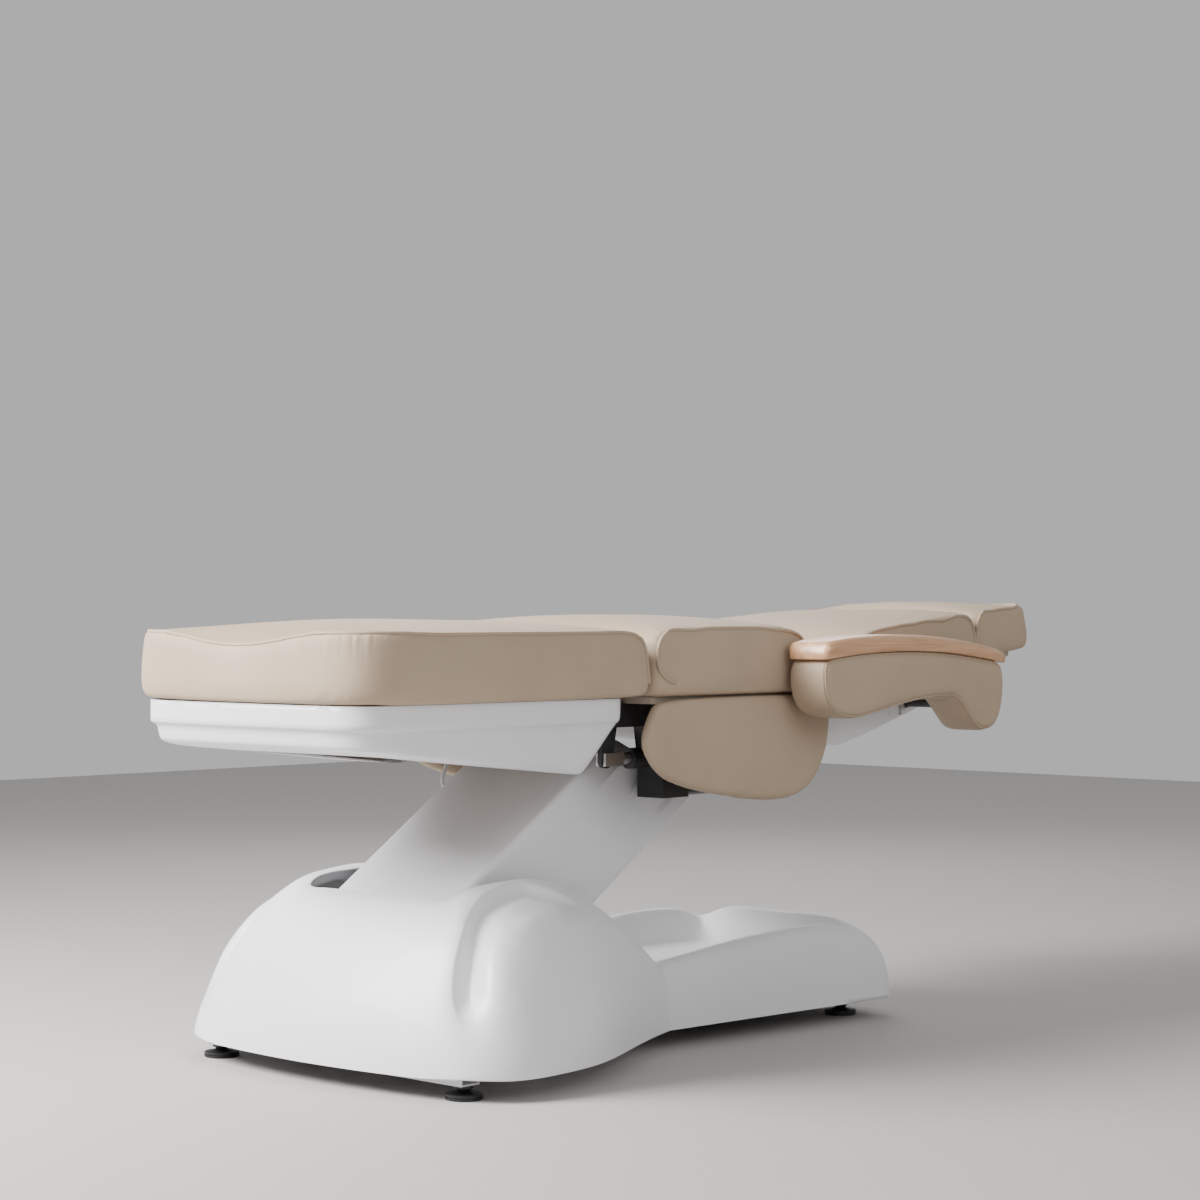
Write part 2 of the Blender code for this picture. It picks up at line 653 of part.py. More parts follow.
def control_box():
    """The box on the rails that feeds the motors, with the mains inlet on its tail face."""
    x = (CONTROL_BOX_X, CONTROL_BOX_X + CONTROL_BOX[0])
    z = (TUBE_TOP + GAP, TUBE_TOP + GAP + CONTROL_BOX[2])
    block("control_box", x, (-CONTROL_BOX[1] / 2, CONTROL_BOX[1] / 2), z, BLACK_PLASTIC, base)
    inlet_x = x[1] + GAP
    inlet_y = CONTROL_BOX[1] / 4
    inlet_z = z[0] + INLET_RISE
    inlet = block("power_inlet", (inlet_x, inlet_x + INLET[0]), (inlet_y, inlet_y + INLET[1]),
                  (inlet_z, inlet_z + INLET[2]), BLACK_PLASTIC, base)
    cut(inlet, block("inlet_socket_tool", (inlet_x + INLET[0] / 3, inlet_x + INLET[0] * 2),
                     (inlet_y + INLET_WALL, inlet_y + INLET[1] - INLET_WALL),
                     (inlet_z + INLET_WALL, inlet_z + INLET[2] - INLET_WALL), BLACK_PLASTIC, base))


control_box()


# Moulded base cover, a skin over stations that run round half of it and are mirrored
COVER_ROWS = 14
ROW_POWER = 1.8
FLOOR_STATION = 7
CREASE_STATION = 8


def cover_stations():
    """From the middle of the foot end to the middle of the tail.

    Each holds the outer foot x, y, the inner rim x, y, the heights of crest and rim, where between them
    the crest lies, and how full the wall is.
    """
    foot, tail, crease = COVER_FOOT_X, COVER_TAIL_X, CREASE_X
    slot, slot_end, tray_end = SLOT_FOOT_X, SLOT_HEAD_X, TRAY_TAIL_X
    half, dome, hump = COVER_HALF, DOME_Z, HUMP_Z
    tray, tray_z, rim = TRAY_HALF, TRAY_Z, RIM_Z
    tray_step = tray_end - crease
    waist = (COVER_HALF + CREASE_HALF) / 2
    waist_slot = (slot_end + crease) / 2
    low_crest = (HUMP_Z + CREASE_Z) / 2
    low_rim = (HUMP_Z + TRAY_Z) / 2
    mid_half = (CREASE_HALF + TAIL_HALF) / 2
    return (
        (foot, 0, slot, 0, dome, dome, 1.0, 1.5),
        (foot + 0.006, half * 0.34, slot, SLOT_HALF * 0.5, dome, dome, 1.0, 1.5),
        (foot + 0.036, half * 0.77, slot + 0.002, SLOT_HALF * 0.93, dome + 0.002, dome + 0.001, 0.98, 1.5),
        (foot + 0.110, half * 0.987, slot + 0.035, SLOT_HALF, hump - 0.008, hump - 0.014, 0.92, 1.5),
        (foot + 0.220, half, slot + 0.105, SLOT_HALF, hump, hump - 0.010, 0.87, 1.75),
        (foot + 0.340, half * 0.93, slot + 0.195, SLOT_HALF, hump - 0.004, hump - 0.014, 0.85, 2.0),
        (crease - 0.165, waist * 0.956, waist_slot - 0.125, SLOT_HALF,
         hump - 0.064, hump - 0.080, 0.80, 2.2),
        (crease - 0.065, CREASE_HALF + 0.026, slot_end, SLOT_HALF - 0.006,
         low_crest - 0.032, low_rim - 0.042, 0.74, 2.4),
        (crease, CREASE_HALF, crease - 0.010, tray + 0.004, CREASE_Z, tray_z + 0.006, 0.62, 2.6),
        (crease + 0.065, CREASE_HALF + 0.003, crease + 0.080, tray, CREASE_Z + 0.008, tray_z, 0.56, 2.6),
        (crease + tray_step * 0.5, mid_half, crease + tray_step * 0.48, tray,
         rim - 0.008, tray_z, 0.56, 2.6),
        (tray_end - 0.020, TAIL_HALF, tray_end - 0.075, tray, rim, tray_z, 0.54, 2.4),
        (tail - 0.026, TAIL_HALF, tray_end - 0.012, tray - 0.016, rim - RIM_NOTCH, tray_z, 0.50, 2.2),
        (tail - 0.002, TAIL_HALF * 0.70, tray_end, tray * 0.60, rim - 0.002, tray_z, 0.56, 1.9),
        (tail, 0, tray_end, 0, rim - 0.004, tray_z, 0.56, 1.9),
    )


COVER_COLUMNS = (2, 3, 6, 5, 3, 3, 2, 2, 1, 1, 1, 2, 2, 2)

# The groove round each fender as (station, share of the height), up the foot corner and back over the hump
GROOVE_PATH = smooth(((2.42, 0.16), (2.36, 0.40), (2.48, 0.64), (2.80, 0.83), (3.4, 0.92), (4.3, 0.94),
                      (5.2, 0.93), (6.2, 0.90)), 3)
STATION_STEP = 0.115
WALL_RISE = 0.290
GROOVE_START = 0.22
GROOVE_FINISH = 0.40


def fender_relief(station, rise):
    """How far the cover's skin stands out of, or into, its plain form beside the fender groove."""
    here = Vector((station * STATION_STEP, rise * WALL_RISE))
    best = None
    for i, (a, b) in enumerate(zip(GROOVE_PATH, GROOVE_PATH[1:])):
        start = Vector((a[0] * STATION_STEP, a[1] * WALL_RISE))
        run = Vector((b[0] * STATION_STEP, b[1] * WALL_RISE)) - start
        share = min(1.0, max(0.0, (here - start).dot(run) / run.length_squared))
        away = here - start - run * share
        if best is None or away.length < best[0]:
            way = 1 if run.x * away.y - run.y * away.x < 0 else -1
            best = (away.length, way, (i + share) / (len(GROOVE_PATH) - 1))
    off = best[0] * best[1]
    narrow = 1 - GROOVE_NARROWS * best[2]
    edge, width = GROOVE_EDGE * narrow, GROOVE_WIDTH * narrow
    strength = ease(best[2] / GROOVE_START) * ease((1 - best[2]) / GROOVE_FINISH)
    if off < 0:
        height = -GROOVE_DEPTH * ease(1 + off / edge)
    elif off < width:
        height = -GROOVE_DEPTH + (GROOVE_DEPTH + FENDER_SWELL) * ease(off / width)
    else:
        height = FENDER_SWELL * (1 - ease((off - width) / FENDER_FADE))
    return height * strength


def cover_point(column, row, station):
    """A point of the cover's skin, row 0 at its foot and the last row on the inner rim."""
    ox, oy, ix, iy, crest, rim, crest_at, full = station
    across = (row / COVER_ROWS) ** ROW_POWER
    relief = 0.0
    rise = 1.0
    if across < crest_at:
        share = 1 - across / crest_at
        rise = (1 - share ** full) ** (1 / full)
        z = COVER_BOTTOM + (crest - COVER_BOTTOM) * rise
        relief = fender_relief(column, rise)
    else:
        share = (across - crest_at) / (1 - crest_at) if crest_at < 1 else 0.0
        z = crest + (rim - crest) * ease(share)
    lean = pi / 2 * rise ** 3
    across -= relief * cos(lean) / hypot(ix - ox, iy - oy)
    return ox + (ix - ox) * across, oy + (iy - oy) * across, z + relief * sin(lean)


def base_cover():
    plan = cover_stations()
    columns = smooth(plan[:CREASE_STATION + 1], COVER_COLUMNS[:CREASE_STATION])[:-1]
    columns += smooth(plan[CREASE_STATION:], COVER_COLUMNS[CREASE_STATION:])
    places = [i + k / steps for i, steps in enumerate(COVER_COLUMNS) for k in range(steps)]
    places.append(len(plan) - 1)
    last = len(columns) - 1
    halves = [(i, 1) for i in range(last + 1)] + [(i, -1) for i in range(last - 1, 0, -1)]
    rings = []
    for row in range(COVER_ROWS + 1):
        half_ring = [cover_point(places[i], row, columns[i]) for i in range(last + 1)]
        rings.append([(half_ring[i][0], side * half_ring[i][1], half_ring[i][2]) for i, side in halves])
    size = len(halves)
    verts = [p for ring in rings for p in ring]
    faces = []
    for a in range(COVER_ROWS):
        for i in range(size):
            j = (i + 1) % size
            faces.append((a * size + i, a * size + j, (a + 1) * size + j, (a + 1) * size + i))
    rim = COVER_ROWS * size
    for i in range(sum(COVER_COLUMNS[:FLOOR_STATION]), last - 1):
        faces.append((rim + i, rim + i + 1, rim + size - i - 1, rim + size - i))
    faces.append((rim + last - 1, rim + last, rim + last + 1))
    cover = piece("base_cover", verts, faces, ABS, base)
    wall = cover.modifiers.new("wall", "SOLIDIFY")
    wall.thickness = COVER_WALL
    wall.offset = -1.0
    boss_profile = [(BOSS, TUBE_TOP + GAP), (BOSS * 1.1, TRAY_Z - COVER_WALL / 2)]
    for end, x in (("front", CREASE_X + RAIL_WIDTH * 2.5), ("rear", TRAY_TAIL_X - RAIL_WIDTH * 1.5)):
        for side_name, side in SIDES:
            weld(cover, turned(f"{side_name}_{end}_boss_tool", (x, side * (RAIL_Y + RAIL_WIDTH / 2)),
                               boss_profile, ABS, base, sides=12))


base_cover()

# Lift arm
ARM_SPAN = (UPPER_PIVOT[0] - LOWER_PIVOT[0], UPPER_PIVOT[1] - LOWER_PIVOT[1])
SLOPE = atan2(ARM_SPAN[1], ARM_SPAN[0]) - radians(ARM_SKEW)
UPPER_ALONG = ARM_SPAN[0] * cos(SLOPE) + ARM_SPAN[1] * sin(SLOPE)


def on_arm(along, rise, y):
    return (LOWER_PIVOT[0] + along * cos(SLOPE) - rise * sin(SLOPE), y,
            LOWER_PIVOT[1] + along * sin(SLOPE) + rise * cos(SLOPE))


def arm_section(wall):
    """The arm's cross-section as (y, rise) points, with round corners."""
    half = ARM_HALF - wall
    low, high = wall - ARM_BELOW, ARM_ABOVE - wall
    radius = max(ARM_CORNER - wall, ARM_CORNER / 4)
    corners = ((half - radius, high - radius, 0), (radius - half, high - radius, 90),
               (radius - half, low + radius, 180), (half - radius, low + radius, 270))
    return [p for y, z, turn in corners for p in arc((y, z), radius, turn, turn + 90, 4)]


def arm_end(section, above, below):
    slope = (above - below) / (ARM_ABOVE + ARM_BELOW)
    return [on_arm(below + (rise + ARM_BELOW) * slope, rise, y) for y, rise in section]


outer, inner = arm_section(0.0), arm_section(ARM_WALL)
foot_end = (ARM_FOOT_ABOVE, ARM_FOOT_BELOW)
head_end = (UPPER_ALONG + ARM_HEAD_ABOVE, UPPER_ALONG + ARM_HEAD_BELOW)
arm_cover = lofted("arm_cover", [arm_end(outer, *foot_end), arm_end(outer, *head_end),
                                 arm_end(inner, *head_end), arm_end(inner, *foot_end)],
                   WHITE_STEEL, arm, ends="join")
cut(arm_cover, extruded("arm_shaft_hole_tool", circle(UPPER_PIVOT, SHAFT + RUN), -2 * ARM_HALF,
                        2 * ARM_HALF, "Y", WHITE_STEEL, arm))
BEAM_Y = ARM_HALF - ARM_WALL - GAP
for side_name, side in SIDES:
    extruded(f"{side_name}_arm_beam", capsule(LOWER_PIVOT, UPPER_PIVOT, BEAM_HALF),
             *span(side, BEAM_Y - BEAM, BEAM_Y), "Y", DARK_STEEL, arm,
             holes=[circle(LOWER_PIVOT, SHAFT + GAP), circle(UPPER_PIVOT, SHAFT + GAP)])
extruded("lower_pivot_shaft", circle(LOWER_PIVOT, SHAFT), -BEAM_Y, BEAM_Y, "Y", BRIGHT_STEEL, arm)
UPPER_SHAFT_END = UPPER_PLATE_Y + PIVOT_PLATE + SHAFT_END
extruded("upper_pivot_shaft", circle(UPPER_PIVOT, SHAFT), -UPPER_SHAFT_END, UPPER_SHAFT_END, "Y",
         BRIGHT_STEEL, arm)
crank = hull(circle(LOWER_PIVOT, SHAFT + PIVOT_EYE) + circle(lift_lever.tip(LOWER_PIVOT), LEVER_HALF))
extruded("lift_crank", crank, -PLATE / 2, PLATE / 2, "Y", DARK_STEEL, arm,
         holes=[circle(LOWER_PIVOT, SHAFT + GAP), lift_lever.slot(LOWER_PIVOT)])
LINK_Y = BASE_PLATE_Y - RUN
extruded("level_link", capsule(LINK_LOW, LINK_HIGH, LINK_HALF), *span(-1, LINK_Y - LINK_THICK, LINK_Y), "Y",
         DARK_STEEL, link, holes=[circle(LINK_LOW, LINK_PIN + GAP), circle(LINK_HIGH, LINK_PIN + GAP)])
actuator("lift", lift_lever, LOWER_PIVOT, 0.0, 1, (MOTOR_OFFSET, 0.0), LIFT_AXIS_Z - GEARBOX_HALF, base)

# Upper frame: side plates, cross tubes and the hangers of the lift arm
HANGER_TOP = FRAME_BOTTOM - GAP
for side_name, side in SIDES:
    front, rear = LEG_HINGE, BACK_HINGE
    outline = ([(front[0], FRAME_BOTTOM), (rear[0] + HINGE_EYE, FRAME_BOTTOM)]
               + arc(rear, HINGE_EYE, 0, 175, 8) + [(rear[0] - HINGE_EYE, FRAME_TOP)]
               + arc(front, PLATE_HEIGHT / 2, 90, 260, 8))
    extruded(f"{side_name}_seat_plate", outline, *span(side, SEAT_PLATE_Y, SEAT_PLATE_Y + PLATE), "Y",
             DARK_STEEL, top, holes=[circle(front, HINGE_ROD + GAP), circle(rear, HINGE_ROD + GAP)])
    feet = [(FRONT_CROSS_X - CROSS_TUBE / 2, HANGER_TOP), (REAR_CROSS_X + CROSS_TUBE / 2, HANGER_TOP)]
    extruded(f"{side_name}_upper_plate", hull(feet + circle(UPPER_PIVOT, SHAFT + PIVOT_EYE)),
             *span(side, UPPER_PLATE_Y, UPPER_PLATE_Y + PIVOT_PLATE), "Y", DARK_STEEL, top,
             holes=[circle(UPPER_PIVOT, SHAFT + GAP)])
for name, x in (("front_cross_tube", FRONT_CROSS_X), ("rear_cross_tube", REAR_CROSS_X)):
    x0, x1 = x - CROSS_TUBE / 2, x + CROSS_TUBE / 2
    bore = rectangle(x0 + TUBE_WALL, x1 - TUBE_WALL, FRAME_BOTTOM + TUBE_WALL, FRAME_TOP - TUBE_WALL)
    extruded(name, rectangle(x0, x1, FRAME_BOTTOM, FRAME_TOP), -SEAT_PLATE_Y + GAP, SEAT_PLATE_Y - GAP,
             "Y", DARK_STEEL, top, holes=[bore])
hanger_feet = [(REAR_CROSS_X + CROSS_TUBE / 2 * way, HANGER_TOP) for way in (-1, 1)]
hanger = extruded("link_hanger", hull(hanger_feet + circle(LINK_HIGH, LINK_PIN + LINK_EYE)),
                  *span(-1, BASE_PLATE_Y, BASE_PLATE_Y + PIVOT_PLATE), "Y", DARK_STEEL, top)
weld(hanger, extruded("upper_link_pin_tool", circle(LINK_HIGH, LINK_PIN),
                      *span(-1, BASE_PLATE_Y + PIVOT_PLATE / 2, LINK_Y - LINK_THICK - 2 * RUN), "Y",
                      BRIGHT_STEEL, top))
for name, hinge in (("leg_hinge_rod", LEG_HINGE), ("back_hinge_rod", BACK_HINGE)):
    extruded(name, circle(hinge, HINGE_ROD), -SEAT_PLATE_Y - PLATE, SEAT_PLATE_Y + PLATE, "Y",
             BRIGHT_STEEL, top)
SEAT_BOARD_HALF = APRON_INNER - GAP
block("seat_board", (LEG_HINGE_X + PLATE_HEIGHT / 2, BACK_HINGE[0] - HINGE_EYE - 4 * RUN),
      (-SEAT_BOARD_HALF, SEAT_BOARD_HALF), (BOARD_TOP - BOARD, BOARD_TOP), PLYWOOD, top)
actuator("back", back_lever, BACK_HINGE, ACTUATOR_Y, -1, (0.0, -MOTOR_OFFSET), HANGER_TOP, top)
actuator("leg", leg_lever, LEG_HINGE, -ACTUATOR_Y, 1, (0.0, -MOTOR_OFFSET), HANGER_TOP, top, can_way=1)


# Side plates of the leg and back sections
def lever_sides(lever, hinge, turn, edge_z):
    """The lever's outline below a plate's edge, from its foot-end side round its tip."""
    tip = lever.tip(hinge, turn)
    lean = lever.lean - turn
    along = Vector((sin(lean), -cos(lean)))
    start = Vector(hinge) + Vector((along.y, -along.x)) * LEVER_HALF
    down = (edge_z - start.y) / along.y
    angle = -90 + lean * 180 / pi
    return [tuple(start + along * down)] + arc(tip, LEVER_HALF, angle - 90, angle + 90, 8)


def leg_plate(side_name, side):
    foot = FOOT_X + LEG_PLATE_END
    chamfer = PLATE_HEIGHT / 4
    outline = [(foot, FRAME_BOTTOM + chamfer), (foot + chamfer, FRAME_BOTTOM)]
    holes = [circle(LEG_HINGE, HINGE_ROD + GAP)]
    start = 270
    if side < 0:
        outline += lever_sides(leg_lever, LEG_HINGE, 0.0, FRAME_BOTTOM)
        holes.append(leg_lever.slot(LEG_HINGE))
        start = 330
    outline += arc(LEG_HINGE, PLATE_HEIGHT / 2, start, 450, 8) + [(foot, FRAME_TOP)]
    extruded(f"{side_name}_leg_plate", outline, *span(side, LEG_PLATE_Y, LEG_PLATE_Y + PLATE), "Y",
             DARK_STEEL, leg, holes=holes)


BACK_BOARD_N = (BACK_BOTTOM - GAP - BOARD, BACK_BOTTOM - GAP)
BACK_PLATE_N = (BACK_BOARD_N[0] - GAP - PLATE_HEIGHT * 0.9, BACK_BOARD_N[0] - GAP)


def back_plate(side_name, side):
    low, high = BACK_PLATE_N
    start = [(-HINGE_EYE, -HINGE_EYE * 1.5), (HINGE_EYE / 3, low)]
    holes = [circle((0, 0), HINGE_ROD + GAP), circle(HEAD_HINGE, HEAD_ROD + GAP)]
    if side > 0:
        start = [(-HINGE_EYE, -HINGE_EYE / 2)] + lever_sides(back_lever, (0, 0), TILT, -HINGE_EYE)[1:]
        start += [(LEVER_HALF * 2, low)]
        holes.append(back_lever.slot((0, 0), TILT))
    outline = (start + arc(HEAD_HINGE, HEAD_EYE, 270, 440, 8)
               + [(HEAD_HINGE[0] - 2 * HEAD_EYE, high), (HINGE_EYE * 1.2, high)]
               + arc((0, 0), HINGE_EYE, 5, 180, 8))
    extruded(f"{side_name}_back_plate", outline, *span(side, LEG_PLATE_Y, LEG_PLATE_Y + PLATE), "Y",
             DARK_STEEL, back, holes=holes)


def spindle(side_name, side):
    """The plate and pin that an armrest swings on."""
    high = BACK_PLATE_N[1] - PLATE / 2
    seat = [(SPINDLE_AT[0] - SPINDLE_SEAT, high), (SPINDLE_AT[0] + SPINDLE_SEAT, high)]
    inner = LEG_PLATE_Y + PLATE + GAP
    made = extruded(f"{side_name}_armrest_spindle", hull(seat + circle(SPINDLE_AT, SPINDLE * 1.45)),
                    *span(side, inner, inner + PLATE * 0.75), "Y", DARK_STEEL, back)
    weld(made, extruded(f"{side_name}_spindle_pin_tool", circle(SPINDLE_AT, SPINDLE),
                        *span(side, inner + PLATE / 4, SPINDLE_REACH), "Y", BRIGHT_STEEL, back))


for side_name, side in SIDES:
    leg_plate(side_name, side)
    back_plate(side_name, side)
    spindle(side_name, side)
extruded("head_hinge_rod", circle(HEAD_HINGE, HEAD_ROD), -LEG_PLATE_Y - PLATE, LEG_PLATE_Y + PLATE, "Y",
         BRIGHT_STEEL, back)

# Soft pieces and shells share rings that run round a four-cornered plan
CORNER_STEPS = 4


def plan_ring(x0, x1, half0, half1, radius0, radius1, side_steps, end_steps, bow=0.0):
    """Plan points round a tapered rectangle with round corners and a bowed x0 end, anticlockwise."""
    corners = (((x0, -half0), radius0), ((x1, -half1), radius1),
               ((x1, half1), radius1), ((x0, half0), radius0))
    arcs = []
    for i, (corner, radius) in enumerate(corners):
        here = Vector(corner)
        before = (Vector(corners[i - 1][0]) - here).normalized() * radius + here
        after = (Vector(corners[(i + 1) % 4][0]) - here).normalized() * radius + here
        arcs.append([before * (1 - t) ** 2 + here * 2 * t * (1 - t) + after * t * t
                     for t in (k / CORNER_STEPS for k in range(CORNER_STEPS + 1))])
    ring = []
    for i, run in enumerate(arcs):
        ring += run
        steps = (side_steps, end_steps)[i % 2]
        start, end = run[-1], arcs[(i + 1) % 4][0]
        ring += [start.lerp(end, (1 - cos(pi * k / steps)) / 2) for k in range(1, steps)]
    return [(x + bow * (y / half0) ** 2 * (x1 - x) / (x1 - x0), y) for x, y in ring]


# Draw-in from the widest outline, in edge radii, and share of the height, up the side of a cushion
CUSHION_SIDE = ((1.0, 0.0), (0.35, 0.05), (0.06, 0.16), (0.0, 0.36), (0.14, 0.68), (0.36, 0.94),
                (0.52, 1.0))
CUSHION_TOP = (0.975, 0.92, 0.80, 0.62, 0.40, 0.18)


def cushion(name, plan, bottom, top_at, pivot, steps, lean=(0.0, 0.0), bow=0.0):
    """A crowned pad. plan is x0, x1, half widths and corner radii, top_at(x, y) its upper surface."""
    x0, x1, half0, half1, radius0, radius1 = plan
    rings = []
    for drawn, share in CUSHION_SIDE:
        draw = drawn * EDGE_ROUND
        ring = plan_ring(x0 + draw + lean[0] * share, x1 - draw - lean[1] * share,
                         half0 - draw, half1 - draw, radius0, radius1, *steps, bow)
        rings.append([(x, y, bottom + (top_at(x, y) - bottom) * share) for x, y in ring])
    edge = rings[-1]
    middle = sum(p[0] for p in edge) / len(edge)
    for scale in CUSHION_TOP:
        ring = [(middle + (x - middle) * scale, y * scale) for x, y, _ in edge]
        rings.append([(x, y, top_at(x, y)) for x, y in ring])
    lofted(name, rings, LEATHER, pivot)


def fall(distance, radius):
    """How far a round edge of this radius has dropped at a distance from the end."""
    left = radius - min(max(distance, 0.0), radius)
    return radius - sqrt(max(radius * radius - left * left, 0.0))


def swell(share):
    return max(0.0, 1 - abs(share) ** 2.5)


def crowned(plan, x, y):
    middle, reach = (plan[0] + plan[1]) / 2, (plan[1] - plan[0]) / 2
    return CROWN * swell((x - middle) / reach) * swell(y / plan[2])


LEG_PLAN = (FOOT_X, LEG_HINGE_X - VALLEY_GAP / 2, HALF, HALF, FOOT_CORNER, SECTION_CORNER)
SEAT_PLAN = (LEG_HINGE_X + VALLEY_GAP / 2, SEAT_END, HALF, HALF, SECTION_CORNER, SECTION_CORNER)
BACK_PLAN = (BACK_FRONT, BACK_SPAN - VALLEY_GAP / 2, HALF, NECK_WIDTH / 2, SECTION_CORNER, SECTION_CORNER)
HEAD_PLAN = (HEAD_START - HEAD_HINGE[0], HEAD_START + HEAD_LENGTH - HEAD_HINGE[0],
             HEAD_WIDTH / 2, HEAD_WIDTH / 2, SECTION_CORNER, HEAD_CORNER)


def leg_top(x, y):
    inwards = x - FOOT_X - FOOT_BOW * (y / HALF) ** 2
    across = cos(pi / 2 * min(1.0, abs(y) / FOOT_SCOOP_REACH)) ** 2
    scoop = FOOT_SCOOP * across * max(0.0, 1 - inwards / FOOT_SCOOP_REACH) ** 2
    return (CUSHION_BOTTOM + LEG_THICK + crowned(LEG_PLAN, x, y) - scoop
            - fall(LEG_PLAN[1] - x, LEG_VALLEY_ROUND) - fall(inwards, END_ROUND))


def seat_top(x, y):
    return (CUSHION_BOTTOM + SEAT_THICK + crowned(SEAT_PLAN, x, y)
            - fall(x - SEAT_PLAN[0], SEAT_VALLEY_ROUND) - fall(SEAT_PLAN[1] - x, LAP_ROUND))


def back_top(s, y):
    low = BACK_BOTTOM + EDGE_ROUND
    share = min(1.0, max(0.0, (s - BACK_FRONT) / RAMP_LENGTH))
    ramp = low + (BACK_TOP - low) * (1.25 * share - 0.25 * share ** 5)
    return ramp + crowned(BACK_PLAN, s, y) - fall(BACK_PLAN[1] - s, END_ROUND)


def head_top(s, y):
    edges = fall(s - HEAD_PLAN[0], END_ROUND) + fall(HEAD_PLAN[1] - s, END_ROUND)
    return HEAD_HINGE_DROP + BACK_TOP + crowned(HEAD_PLAN, s, y) * 0.7 - edges


LEAN = (HEAD_GAP_TOP - VALLEY_GAP) / 2
cushion("leg_cushion", LEG_PLAN, CUSHION_BOTTOM, leg_top, leg, (10, 8), bow=FOOT_BOW)
cushion("seat_cushion", SEAT_PLAN, CUSHION_BOTTOM, seat_top, top, (10, 6))
cushion("back_cushion", BACK_PLAN, BACK_BOTTOM, back_top, back, (10, 6), lean=(0.0, LEAN))
cushion("head_cushion", HEAD_PLAN, HEAD_HINGE_DROP + BACK_BOTTOM, head_top, head, (6, 8), lean=(LEAN, 0.0))


def back_lip_half(s):
    """Half the width of the back shell's lip, which narrows towards the head."""
    share = (s - BACK_FRONT) / (BACK_SPAN - BACK_FRONT)
    return HALF - LIP_INSET + (NECK_WIDTH / 2 - HALF) * share


# Boards under the cushions, inside the lips of the shells
LEG_LIP = (FOOT_X + LEG_LIP_FOOT, LEG_HINGE_X - LEG_LIP_REAR)
LEG_LIP_HALF = HALF - LIP_INSET
BOARD_INSET = SHELL_WALL + BOARD_EDGE
leg_board = plan_ring(LEG_LIP[0] + BOARD_INSET, LEG_LIP[1] - BOARD_INSET, LEG_LIP_HALF - BOARD_INSET,
                      LEG_LIP_HALF - BOARD_INSET, LEG_LIP_CORNER, LEG_LIP_CORNER * 0.6, 1, 4, FOOT_BOW)
extruded("leg_board", leg_board, BOARD_TOP - BOARD, BOARD_TOP, "Z", PLYWOOD, leg)
board_s = (BACK_LIP_FRONT + BOARD_INSET, BACK_LIP_END - BOARD_INSET)
board_half = [back_lip_half(s) - BOARD_INSET for s in board_s]
extruded("back_board", plan_ring(*board_s, *board_half, BACK_LIP_CORNER, BACK_LIP_CORNER * 0.7, 1, 1),
         *BACK_BOARD_N, "Z", PLYWOOD, back)
board_low, board_high = (n + HEAD_HINGE_DROP for n in BACK_BOARD_N)
board_end = HEAD_PLAN[1] - HEAD_LENGTH / 6
head_board = arc((0, 0), HEAD_EYE, 100, 320, 10) + [(HEAD_EYE * 3, board_low), (board_end, board_low),
                                                    (board_end, board_high), (HEAD_EYE * 1.4, board_high)]
extruded("head_board", head_board, 2 * RUN - LEG_PLATE_Y, LEG_PLATE_Y - 2 * RUN, "Y", PLYWOOD, head,
         holes=[circle((0, 0), HEAD_ROD + GAP)])


# Moulded undershells: a lip under the cushion, a step, and a bowl that deepens to the hinge
def undershell(name, levels, pivot):
    """levels are plan rings with their heights, from the lip to the bottom, which closes the bowl."""
    size = len(levels[0])
    verts = [p for ring in levels for p in ring]
    faces = []
    for a in range(len(levels) - 1):
        for i in range(size):
            j = (i + 1) % size
            faces.append((a * size + i, a * size + j, (a + 1) * size + j, (a + 1) * size + i))
    last = (len(levels) - 1) * size
    hub = len(verts)
    verts.append(tuple(sum(c) / size for c in zip(*levels[-1])))
    faces += [(last + i, last + (i + 1) % size, hub) for i in range(size)]
    made = piece(name, verts, faces, ABS, pivot)
    wall = made.modifiers.new("wall", "SOLIDIFY")
    wall.thickness = SHELL_WALL
    wall.offset = -1.0
    wall.use_even_offset = True
    return made


def shell_level(x0, x1, half0, half1, radius, height, end_steps=3, bow=0.0):
    ring = plan_ring(x0, x1, half0, half1, radius, radius * 0.6, 3, end_steps, bow)
    return [(x, y, height(x)) for x, y in ring]


